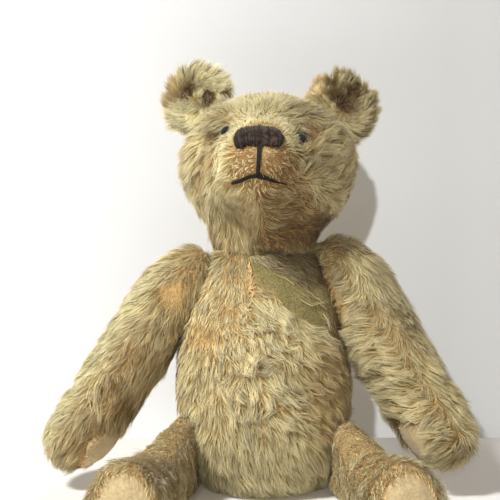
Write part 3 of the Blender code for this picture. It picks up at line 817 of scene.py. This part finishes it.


# ---- How each part is combed and worn, and where shade and light are painted on it ----


def comb_head(s):
    nap = Nap(s, s.away_from(1.0, 221.0, 24.0), length=10.5, lift=46, ochre=0.12)
    nap.blend(eased(-0.1, 0.6, s.out[:, 1]), (0, -1, 0.2))
    nap.blend(eased(-0.1, 0.5, -s.out[:, 2]) * eased(215, 190, s.w), length=8.5, lift=30)

    # The forehead stands up, the cheeks and the throat are combed down and outwards
    nap.oval(3, 245, 42, 13, lift=58, length=10.5, bright=-0.04, vary=0.6)
    nap.oval(44, 206, 24, 30, way=(0.85, 0.50), firm=0.85, lift=40, length=12.5, ochre=0.28,
             locked=0.45, vary=2.0)
    nap.oval(-32, 203, 24, 28, way=(-0.80, -0.60), firm=0.8, lift=36, length=13.5, locked=0.45,
             bright=0.08, ochre=0.20, vary=0.7)
    nap.oval(-25, 172, 24, 20, way=(-0.30, -0.95), firm=0.9)
    nap.oval(38, 178, 20, 20, way=(0.65, -0.75), firm=0.8)
    nap.oval(57, 182, 13, 24, length=7.0, lift=24)
    nap.oval(-8, 164, 12, 14, way=(0.10, -1.0), firm=0.9)

    # Hair of the head stands in front of the hollow of each ear
    nap.stripe((-47, 240), (-18, 252), 6, 0.6, way=(-0.10, 1.0), length=10.5, lift=58)
    nap.stripe((38, 250), (60, 234), 6, 0.6, way=(0.25, 1.0), length=10.5, lift=58)

    # The short tufts of the muzzle, and the pale fringe round the top of the nose
    nap.oval(2.2, 206, 19.5, 20, edge=0.16, length=2.2, lift=78, curl=1.2, keep=0.42, fine=0.95,
             locked=0.0, bright=0.40)
    nap.oval(13, 204, 14, 14, edge=0.3, way=(0.8, -0.6), firm=0.8, length=3.2, lift=46,
             ochre=0.35, soil=0.30, keep=0.50, fine=0.9, bright=0.10)
    nap.oval(-10, 203, 9, 12, edge=0.3, ochre=0.05, soil=0.0, keep=0.36, bright=0.5)
    nap.oval(6, 189, 8, 4.5, edge=0.4, length=3.0, lift=78, fine=0.95, ochre=0.0, soil=0.0,
             keep=0.6, bright=0.5)
    fringe = s.oval(1, 226, 20, 12.5, edge=0.12) * eased(216, 221, s.w)
    nap.blend(fringe, s.away_from(1.0, 212.0, 2.0), length=4.6, lift=48, keep=1.0, ochre=0.0,
              soil=0.0, fine=0.3, bright=0.3)
    nap.blend(s.area(NOSE_AREA, 0.6), keep=0.0)
    for line in (PHILTRUM, MOUTH_LEFT, MOUTH_RIGHT):
        for start, end in zip(line, line[1:]):
            nap.stripe(start, end, MOUTH_HALF, 0.3, keep=0.0)

    # Worn places, darker pile above the eyes, and short dark pile round both eyes, painted shade
    # of the eye hollows
    for u in (-25, 27):
        nap.oval(u, 239, 11, 5, edge=0.6, soil=0.28, bright=-0.1)
    for u, w, half_u, half_w in ((-29.1, 211.8, 6, 5.5), (-34.5, 201, 6, 4.5), (34.5, 227.5, 5, 6)):
        nap.oval(u, w, half_u, half_w, 35, length=6.0, ochre=0.50, soil=0.22)
    # Painted shade in the hollow of the bear's right eye, and round its left eye
    nap.oval(-20.5, 227, 8.5, 8, length=5.0, soil=0.85, lift=20, bright=-0.4)
    nap.oval(28, 222, 6.5, 5.5, edge=0.4, length=4.0, soil=0.35, lift=20)

    # Hair hangs over both eyes, mostly over the bear's right one, and fringes the muzzle
    for u, w, slope, length in ((-22.5, 233, 0.25, 13.0), (28, 232.5, -0.25, 8.5)):
        nap.oval(u, w, 7.5, 4, edge=0.35, way=(slope, -0.95), length=length, lift=44, soil=0.20,
                 curl=0.3)
    nap.oval(31.5, 227, 4.5, 6, edge=0.3, way=(-0.85, -0.35), length=6.5, lift=48, ochre=0.5,
             keep=0.7)
    for start, end in (((-15, 229.5), (-20.5, 220)), ((-20.5, 220), (-23, 206)),
                       ((16.5, 229), (21.5, 219))):
        nap.stripe(start, end, 3.8, length=5.0, lift=44, bright=0.35, soil=0.0, ochre=0.0, fine=0.3)

    # The throat is worn and ochre to the bear's left of its seam, and darker there, most towards
    # the bottom, partly as painted shade under the chin
    left_of_seam = s.front * eased(-0.4, 1.2, s.u - 1.2 - 0.06 * (190 - s.w))
    throat = left_of_seam * s.oval(16, 175, 26, 20, edge=0.4)
    nap.blend(throat, (0.88, -0.48), length=6.0, lift=18, soil=0.40, ochre=0.60, keep=0.62,
              locked=0.35, bright=-0.15)
    nap.blend(throat * eased(176, 164, s.w), soil=0.60, ochre=0.40, bright=-0.25)
    # Ochre and darker pile under the chin on the bear's right of the seam, partly painted shade
    nap.oval(-10, 184, 11, 8, length=6.0, lift=30, ochre=0.42, soil=0.1)
    nap.oval(-14, 166, 20, 16, ochre=0.40, soil=0.24)
    nap.oval(-10, 164, 14, 18, bright=0.1, locked=0.5, length=10.0)
    # A dark band under the jaw: a painted shadow
    nap.stripe((4, 158), (42, 168), 7, soil=0.85, bright=-0.5, length=5.0, lift=14)
    return nap


def ear_hollow(s, side, grown=1.0):
    """The hollow of an ear, where its shade is painted, grown by a factor."""
    return np.max([s.oval(u, w, half_u * grown, half_w * grown, turn, edge=0.45)
                   for u, w, half_u, half_w, turn in EAR_HOLLOWS[side]], axis=0)


def comb_ear(side):
    low, high = (np.array(c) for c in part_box("ear_" + WORD[side]))
    middle = (low + high) / 2

    def comb(s):
        away = s.at - middle
        outward = unit(away * np.array((1, 0.3, 1)) + np.array((0, 0, -0.002)))
        plain = dict(length=9.5, lift=30, curl=0.8, locked=0.40, vary=1.3)
        if side > 0:
            # The left ear's pile stands up and outwards, painted darker on its outer side as shade
            # and paler towards the head as light
            nap = Nap(s, unit(0.75 * outward + 0.55 * np.array((0, 0, 1.0))), ochre=0.28,
                      bright=-0.52 + 0.82 * eased(0.004, -0.012, away[:, 0]), **plain)
        else:
            # The right ear's pile sweeps up and over its rim
            sweep = unit(np.stack((away[:, 2], np.zeros(len(away)), -away[:, 0]), 1))
            nap = Nap(s, unit(0.65 * outward + 0.75 * sweep), bright=-0.05, **plain)
            nap.oval(-53, 252, 4.5, 11, ochre=0.55, soil=0.15, bright=-0.2)
        rim = eased(0.012, 0.018, np.hypot(away[:, 0], away[:, 2]))
        nap.blend(rim, length=12.0 if side < 0 else 10.5, lift=40)
        # Short pile painted dark in each hollow and a little round it: painted shade
        nap.blend(ear_hollow(s, side, 1.7), length=5.0, lift=30, soil=0.25)
        nap.blend(ear_hollow(s, side), length=2.6, lift=24, soil=0.97, curl=1.0, keep=0.35,
                  bright=-0.5, ochre=0.0)
        return nap

    return comb


def comb_trunk(s):
    lean = 0.05 + 0.65 * eased(-30, 30, s.u)
    lay = unit(np.stack((lean * s.front, np.zeros(len(lean)), -np.ones(len(lean))), 1))
    nap = Nap(s, lay, length=10.0, lift=36, ochre=0.12)
    flank = eased(0.55, 0.9, np.abs(s.out[:, 0]))
    nap.blend(flank, length=7.5, lift=26)

    # The long locks of the belly lie over one another
    nap.oval(10, 82, 46, 44, edge=0.45, length=11.0, lift=42, curl=1.5, fine=0.45, locked=0.62,
             soil=0.07, vary=2.6, bright=-0.02)
    nap.oval(30, 88, 36, 36, way=(0.82, -0.52), firm=0.8)
    nap.oval(-24, 84, 20, 44, bright=0.10, ochre=0.22, soil=0.0)
    nap.oval(-14, 70, 26, 34, way=(0.30, -0.95), firm=0.7)
    nap.oval(44, 64, 19, 30, soil=0.18, ochre=0.50, length=10.0, vary=1.0, bright=0.05)

    # Short tan pile beside the bald chest
    tan = s.area(((-44.0, 150.0), (-5.0, 152.0), (1.0, 112.0), (-40.0, 96.0)), 5.0)
    nap.blend(tan, length=6.5, lift=34, ochre=0.14, fine=0.3, locked=0.25, keep=0.95, bright=0.05)
    for u, w, half_u, half_w, ochre in ((-33, 99, 9, 9, 0.65), (-20, 116, 7, 5, 0.45),
                                        (-6, 133, 4, 9, 0.5), (-34, 139, 5, 7, 0.45),
                                        (47, 88, 9, 9, 0.45)):
        nap.oval(u, w, half_u, half_w, length=5.0, ochre=ochre, keep=0.75, lift=30)

    # The bald patch, the chin's shadow painted over its top in dark, greyed pile, and the wisps
    # that hang over it
    nap.blend(s.area(BALD_CHEST, 1.5), keep=0.0)
    nap.blend(s.area(CHIN_SHADE, 1.2), (0.88, -0.42), keep=1.0, length=6.5, lift=20, soil=0.50,
              dust=0.35, bright=-0.38, locked=0.3)
    nap.stripe((28, 124), (44, 110), 4, 0.4, way=(0.62, -0.78), keep=0.22, length=10.0, lift=18,
               dust=0.2, locked=0.7)
    nap.stripe((-1, 119), (40, 91), 5.5, 0.4, way=(0.72, -0.60), keep=1.0, length=14.0, lift=26,
               dust=0.2, locked=0.7, bright=0.4, soil=0.0, vary=1.0, curl=0.5)
    # More of the chin's shadow, painted on the upper chest
    nap.oval(-14, 146, 20, 7, dust=0.30, soil=0.20, ochre=0.0, bright=-0.1)
    # Painted shade in the gap beside the left arm
    nap.stripe(*ARMPIT, 3, length=3.0, lift=12, soil=0.8, bright=-0.5)
    return nap


def comb_left_arm(s):
    nap = Nap(s, toward(0.50, -0.86, -0.10), length=11.0, lift=44, ochre=0.18, soil=0.06)

    # The pile parts along the front seam
    inner = s.front * eased(-3, 3, s.beside((76.0, 113.0), (108.0, 66.0)))
    nap.blend(inner, (-0.93, -0.36), 0.95, length=12.0, lift=40, locked=0.5, soil=0.10, vary=1.4)
    nap.blend(s.oval(88, 55, 22, 22) * inner, (-0.85, 0.15), 0.6)

    # The worn shoulder, its short pile pale from wear and paler still as painted light where
    # the head's shade falls, and wear and soil below it
    nap.oval(44, 145, 8, 13, -10, 0.3, keep=0.55, length=2.8, lift=60, soil=0.0, ochre=0.05,
             dust=0.2, bright=0.80, fine=0.5)
    nap.stripe((49, 136), (58.5, 106), 5.5, keep=0.5, length=5.0, ochre=0.7)
    nap.oval(88, 106, 9, 16, 35, 0.6, length=5.5, soil=0.30)
    # The same line of painted shade, on the arm's side of the gap
    nap.stripe((33.5, 147), (56, 91), 3, 0.4, length=3.0, lift=12, soil=0.6, bright=-0.4)
    nap.oval(97, 70, 16, 40, 30, 0.6, bright=0.10)
    return nap


def comb_right_arm(s):
    nap = Nap(s, toward(-0.50, -0.86, -0.10), length=9.0, lift=38, ochre=0.36, soil=0.10,
              bright=-0.03 - 0.07 * eased(80, 50, s.w))
    inside = eased(0.2, 0.8, s.out[:, 0])
    nap.blend(inside, length=6.0, lift=26)
    nap.oval(-78, 75, 30, 45, 30, way=(-0.45, -0.90), firm=0.8)
    nap.oval(-86, 66, 24, 50, -38, length=11.0, locked=0.45, soil=0.10, vary=1.4)

    # Bare and thin places at the shoulder, soiled ones down the inner side
    nap.oval(-52.3, 126, 8, 11, -25, 0.3, keep=0.08, length=3.5, ochre=0.6)
    nap.oval(-45, 138, 8, 5, 30, length=5.5, ochre=0.5, keep=0.7)
    for u, w, half_u, half_w in ((-77, 88, 10, 7), (-91, 66, 11, 8), (-84, 57, 9, 7),
                                 (-104, 38, 14, 6)):
        nap.oval(u, w, half_u, half_w, 40, 0.6, length=7.0, soil=0.40, ochre=0.60, bright=-0.08)

    # The outer edge, its pile made paler: painted light where the lamp catches the rim
    outer = s.front * eased(0, 13, s.beside((-49.0, 136.0), (-125.0, 25.0)))
    nap.blend(outer, (-0.9, 0.05), 0.6, length=9.5, lift=50, bright=0.38, ochre=0.0, soil=0.0,
              dust=0.25, fine=0.5)
    return nap


def comb_leg(side):
    def comb(s):
        nap = Nap(s, toward(side * 0.10, -0.25, -0.95), length=8.5, lift=40, soil=0.12)
        nap.blend(eased(-0.060, -0.020, s.at[:, 1]), length=5.0, lift=28)
        nap.blend(eased(0.2, 0.8, s.out[:, 2]), (side * 0.6, 0.0, -0.7), 0.3)
        return nap

    return comb


# ---- The bear ----


def stuffed(part, comb, strands, *pad, fill=0.85, lock=4.6):
    """One stuffed part: its CAD nodes, how full it is, which is not used, and how its pile grows.
    """
    return dict(nodes=(part + "_cover", part + "_stuffing", *pad), pads=pad, comb=comb,
                strands=strands, fill=fill, lock=lock)


PARTS = {"trunk": stuffed("trunk", comb_trunk, 66000),
         "head": stuffed("head", comb_head, 66000, fill=0.95, lock=5.0),
         "arm_left": stuffed("arm_left", comb_left_arm, 36000, "paw_pad_left"),
         "arm_right": stuffed("arm_right", comb_right_arm, 36000, "paw_pad_right"),
         "leg_left": stuffed("leg_left", comb_leg(1), 23000, "foot_pad_left"),
         "leg_right": stuffed("leg_right", comb_leg(-1), 23000, "foot_pad_right")}


def wear_and_shade_marks(part, spots):
    """Where the woven ground is grey-green, rusty or soiled, and darkened as painted shade where
    the chin's shadow falls.
    """
    khaki, rust, soil = np.zeros((3, len(spots.u)))
    if part == "trunk":
        khaki = spots.area(BALD_CHEST, 4.0)
        # The chin's shadow, painted on the ground
        soil = 0.65 * spots.area(CHIN_SHADE, 1.5)
        rust = 0.5 * spots.oval(52, 100, 10, 12, edge=0.6)
    if part == "head":
        muzzle = spots.oval(-9, 205, 11, 15, edge=0.3)
        rust = np.maximum(0.88 * spots.oval(18, 186, 22, 28), 0.50 * muzzle)
        soil = np.maximum(0.2 * spots.oval(16, 176, 15, 17),
                          0.28 * spots.oval(-8, 205, 11, 15, edge=0.3))
    if part == "arm_left":
        khaki = 0.45 * spots.oval(43.0, 146.0, 10.0, 15.0)
    return {"khaki": khaki, "rust": rust, "soil": soil}


PAD_STITCHES = 46


def sew_pad(node, body, limb, seed):
    """The felt pad of a palm or sole, a little slack in its window, with stitches over its edge."""
    draw = np.random.default_rng(seed)
    felt = Skin((node,), cell=0.0009, rounds=3)
    middle = felt.points.mean(0)
    # The way out of the pad is the one in which it is thinnest
    out = np.linalg.svd(felt.points - middle, full_matrices=False)[2][2]
    out = out * np.sign((middle - limb.points.mean(0)) @ out)
    felt.push(0.30 + 0.25 * ripple(felt.points, 0.010, seed))
    felt.points[:, 2] = np.maximum(felt.points[:, 2], LEAST_HEIGHT)
    fasten(new_object(node + "_felt", felt.points, felt.quads, FELT), body, "felt", node)

    trees = felt.tree(), limb.tree()
    across = unit(np.cross(out, (0.3, 0.1, 1.0)))
    up = np.cross(out, across)

    def struck(tree, angle, reach):
        """Where a needle meets a skin, going in at an angle and a reach from the pad's middle."""
        start = middle + (across * math.cos(angle) + up * math.sin(angle)) * reach + out * 0.02
        return tree.ray_cast(Vector(start), Vector(-out), 0.035)

    work = ThreadWork(sides=5)
    for k in range(PAD_STITCHES):
        angle = 2 * np.pi * (k + 0.3 * draw.random()) / PAD_STITCHES
        edge = max(r for r in np.arange(0.002, 0.034, 0.0004) if struck(trees[0], angle, r)[0])
        slant = 0.05 + 0.04 * draw.random()
        path, outs = [], []
        for s in np.linspace(-1.0, 1.0, 7):
            hits = [struck(tree, angle + slant * s, edge + 0.0016 * s) for tree in trees]
            hits = [h for h in hits if h[0]]
            if hits:
                best = max(hits, key=lambda h: Vector(out) @ h[0])
                path.append(np.array(best[0]) + out * (0.3 - 0.35 * s * s) * MM)
                outs.append(out)
        if len(path) > 3:
            work.add(path, outs, 0.26 * MM, tint=draw.random(), sheen=draw.random())
    fasten(work.finished(node + "_stitches", DARNING_THREAD), body, "repair_thread")


skins = {}
for seed, (part, facts) in enumerate(PARTS.items()):
    skin = skins[part] = Skin(facts["nodes"])
    skin.push(0.45 * ripple(skin.points, 0.016, 40 + seed) - 0.2)
    for pad in facts["pads"]:
        skin.push(-1.1 * on_pad(pad, skin.points))
    skin.points[:, 2] = np.maximum(skin.points[:, 2], LEAST_HEIGHT)
    cover = new_object(part + "_skin", skin.points, skin.quads, BACKING,
                       wear_and_shade_marks(part, skin.spots()))
    fasten(cover, part, "mohair", part + "_cover")
    grow_pile(part + "_pile", part, skin, facts["comb"], facts["strands"], 100 + seed,
              facts["lock"], facts["pads"])
    for pad in facts["pads"]:
        sew_pad(pad, part, skin, 140 + seed)

for side, word in WORD.items():
    node = "ear_" + word
    skin = Skin((node,), cell=0.0011, rounds=8)
    # The cloth is painted dark in the hollow: painted shade
    hollow = ear_hollow(skin.spots(), side)
    cover = new_object(node + "_cloth", skin.points, skin.quads, BACKING,
                       {"khaki": 0.6 * hollow, "soil": 0.8 * hollow, "dark": hollow})
    fasten(cover, "head", "mohair", node)
    grow_pile(node + "_pile", "head", skin, comb_ear(side), 15000, 120 + side, 3.6)

face, chest = (skins[part].tree() for part in ("head", "trunk"))


def sew_nose():
    """Two layers of upright stitches over two lobes: thick padding below, fine floss on top."""
    draw = np.random.default_rng(7)
    work = ThreadWork()
    top, bottom = np.array(NOSE_TOP), np.array(NOSE_BOTTOM)
    s = np.linspace(0, 1, 11)
    for count, height, radius in ((19, 0.6, 1.05), (33, 1.35, 0.66)):
        for k in range(count):
            part = (k + 0.5) / count
            u = top[0, 0] + (top[-1, 0] - top[0, 0]) * part
            high = np.interp(u, top[:, 0], top[:, 1]) + draw.normal() * 0.25
            low = np.interp(u, bottom[:, 0], bottom[:, 1]) + draw.normal() * 0.5
            fan = (u - NOSE_MIDDLE) * 0.07 + draw.normal() * 0.18
            lobe = 0.5 + 0.5 * min(1.0, abs(u - NOSE_MIDDLE) / 5)
            bulge = (height * (1 - 0.5 * np.abs(2 * s - 1) ** 3) * (0.6 + 0.4 * lobe)
                     + 1.3 * lobe * np.sin(np.pi * (0.15 + 0.8 * s)))
            places = [(u + fan * (2 * t - 1) + draw.normal() * 0.16, low + (high - low) * t)
                      for t in (0.0, 0.25, 0.5, 0.75, 1.0)]
            # The bear's left lobe carries more of the paler floss colour: painted sheen and wear
            sheen = max(0, 0.35 + 0.4 * (u > 4) * (1 - abs(u - 9) / 10))
            work.lay(face, places, len(s), bulge, radius * MM * draw.uniform(0.82, 1.18),
                     tint=draw.random(), sheen=sheen)
    fasten(work.finished("nose_stitches", NOSE_FLOSS), "head", "floss", "nose_stitching")


def sew_mouth():
    """Each line of the mouth is a flat bundle of strands that narrows to its end."""
    draw = np.random.default_rng(8)
    work = ThreadWork()
    steps = 17
    lines = ((PHILTRUM, (1.2, 0.95)), (MOUTH_LEFT, (1.05, 0.9)), (MOUTH_RIGHT, (1.65, 0.2)))
    for places, (start, end) in lines:
        places = np.array(places)
        way = unit(places[-1] - places[0])
        side = np.array((-way[1], way[0]))
        for off in np.linspace(-1, 1, 5):
            wide = np.interp(np.arange(len(places)), (0, len(places) - 1), (start, end)) - 0.3
            shifted = places + side * (off * wide)[:, None]
            high = 1.1 + 0.4 * (1 - off * off) + 0.02 * draw.normal(size=steps).cumsum()
            thin = np.interp(np.linspace(0, 1, steps), (0, 1), (0.52, 0.46 if end > 0.5 else 0.28))
            work.lay(face, shifted, steps, high, thin * MM, tint=draw.random(), sheen=0.3, ends=0.6)
    fasten(work.finished("mouth_stitches", MOUTH_FLOSS), "head", "floss", "mouth_stitching")


def darn_chest():
    """Coarse loops that cross the seam beside the bald patch, now one way and now the other."""
    draw = np.random.default_rng(9)
    work = ThreadWork()
    line = np.array(DARNING)
    for k in range(DARNING_STITCHES):
        part = (k + draw.random()) / DARNING_STITCHES
        at = np.array([np.interp(part, np.linspace(0, 1, len(line)), line[:, a]) for a in (0, 1)])
        reach = draw.uniform(1.4, 3.4)
        slope = draw.normal() * 0.6 + (0.7 if k % 2 else -0.7)
        d = np.array((math.cos(slope), math.sin(slope))) * reach
        bend = np.array((-d[1], d[0])) * draw.normal() * 0.25
        s = np.linspace(-1, 1, 9)
        height = 0.3 + draw.uniform(0.5, 1.3) * (1 - s * s)
        work.lay(chest, (at - d, at + bend, at + d), len(s), height, 0.32 * MM,
                 tint=draw.random(), sheen=draw.random())
    fasten(work.finished("chest_darning_threads", DARNING_THREAD), "trunk", "repair_thread",
           "chest_darning")


sew_nose()
sew_mouth()
darn_chest()

# CAD nodes that keep their shape get their finishes
KEPT_FINISHES = (("stuffing", WOOD_WOOL), ("disc", BOARD), ("washer", STEEL), ("split_pin", STEEL),
                 ("pad", FELT), ("eye", BUTTON))
for name, node in frame["nodes"].items():
    for word, finish in KEPT_FINISHES:
        if word in name:
            if not node.material_slots:
                node.data.materials.append(finish)
            for place in node.material_slots:
                place.material = finish

# ---- Stage, light and camera ----

PANEL_HALF = 2.5
WALL_BACK = 0.175


def stage_panel(name, near, far, left, right, from_x, to_x, one_sided=False):
    """A panel of pale paper, from its near to its far edge, whiter to the left as a painted fall
    of light, that keeps the bear's shadow."""
    f = Finish("pale_" + name, roughness=1.0, specular_ior_level=0.0)
    x = f.node("SeparateXYZ", output="X", Vector=f.node("TexCoord", output="Object"))
    colour = f.mix(f.between(x, from_x, to_x), left, right)
    f.colour(colour)
    # For the eye, a share of warm glow that browns the shadows on the panel: painted light
    f.mixed(f.seen() * 0.12, "Emission", f.mix(1.0, colour, (1.0, 0.80, 0.58), way="MULTIPLY"))
    if one_sided:
        back = f.node("NewGeometry", output="Backfacing")
        f.mixed(back, "BsdfTransparent", (1.0, 1.0, 1.0))
    corners = [(x, *edge) for x, edge in ((-PANEL_HALF, near), (PANEL_HALF, near),
                                          (PANEL_HALF, far), (-PANEL_HALF, far))]
    return new_object(name, corners, np.array([(0, 1, 2, 3)]), f.material)


floor = stage_panel("floor", (-PANEL_HALF, 0), (PANEL_HALF, 0), (0.90, 0.90, 0.90),
                    (0.80, 0.79, 0.78), -0.3, 0.4)
wall = stage_panel("wall", (WALL_BACK, 0), (WALL_BACK, PANEL_HALF), (1.0, 1.0, 1.0),
                   (0.66, 0.66, 0.65), -0.16, 0.14, one_sided=True)
for ray in ("diffuse", "glossy", "transmission", "shadow"):
    setattr(wall, "visible_" + ray, False)


def lamp(name, place, size, power, colour=(1, 1, 1)):
    """A round lamp that looks at the middle of the bear."""
    data = bpy.data.lights.new(name, "AREA")
    data.shape, data.size, data.energy, data.color = "DISK", size, power, colour
    made = bpy.data.objects.new(name, data)
    made.location = place
    made.rotation_euler = (Vector(MIDDLE) - Vector(place)).to_track_quat("-Z", "Y").to_euler()
    bpy.context.scene.collection.objects.link(made)
    return made


MIDDLE = (0.0, 0.0, 0.15)
key = lamp("key", (-0.95, -1.00, 1.62), 0.34, 53.0, (0.99, 1.0, 0.965))
front = lamp("front", (-0.16, -1.75, 0.62), 0.10, 5.5)
backdrop = lamp("backdrop", (-0.31, -1.75, 0.66), 0.05, 26.0, (0.96, 1.0, 1.05))
lamp("back_fill", (0.2, 1.4, 0.9), 1.2, 8.0)


def linked(light, kind, objects, state):
    """Which objects a lamp reaches, or which throw its shadow."""
    chosen = bpy.data.collections.new(light.name + "_" + kind)
    setattr(light.light_linking, kind + "_collection", chosen)
    for k, thing in enumerate(objects):
        chosen.objects.link(thing)
        chosen.collection_objects[k].light_linking.link_state = state


# The wall is left to the backdrop lamp, whose shadow of the bear spares the ears and one arm
for light, state in ((key, "EXCLUDE"), (front, "EXCLUDE"), (backdrop, "INCLUDE")):
    linked(light, "receiver", [wall], state)
spared = [o for o in bpy.data.objects if o.name.startswith(("ear_", "arm_right"))]
linked(backdrop, "blocker", spared, "EXCLUDE")

world = bpy.data.worlds.new("studio")
bpy.context.scene.world = world
world.use_nodes = True
air = Nodes(world.node_tree)
soft = air.node("Background", Color=(1.0, 0.92, 0.80), Strength=0.20)
plain = air.node("Background", Color=(0.93, 0.93, 0.92), Strength=1.0)
air.node("OutputWorld", Surface=air.shared(air.seen(), soft, plain))

view = bpy.data.cameras.new("camera")
view.sensor_width = 36.0
view.lens = 36.0 * REACH / VIEW_WIDTH
view.clip_start = 0.05
camera = bpy.data.objects.new("camera", view)
camera.location = CAMERA
camera.rotation_euler = (math.pi / 2 - LOOK_DOWN, 0, 0)
bpy.context.scene.collection.objects.link(camera)
bpy.context.scene.camera = camera
bpy.context.scene.view_settings.view_transform = "Standard"
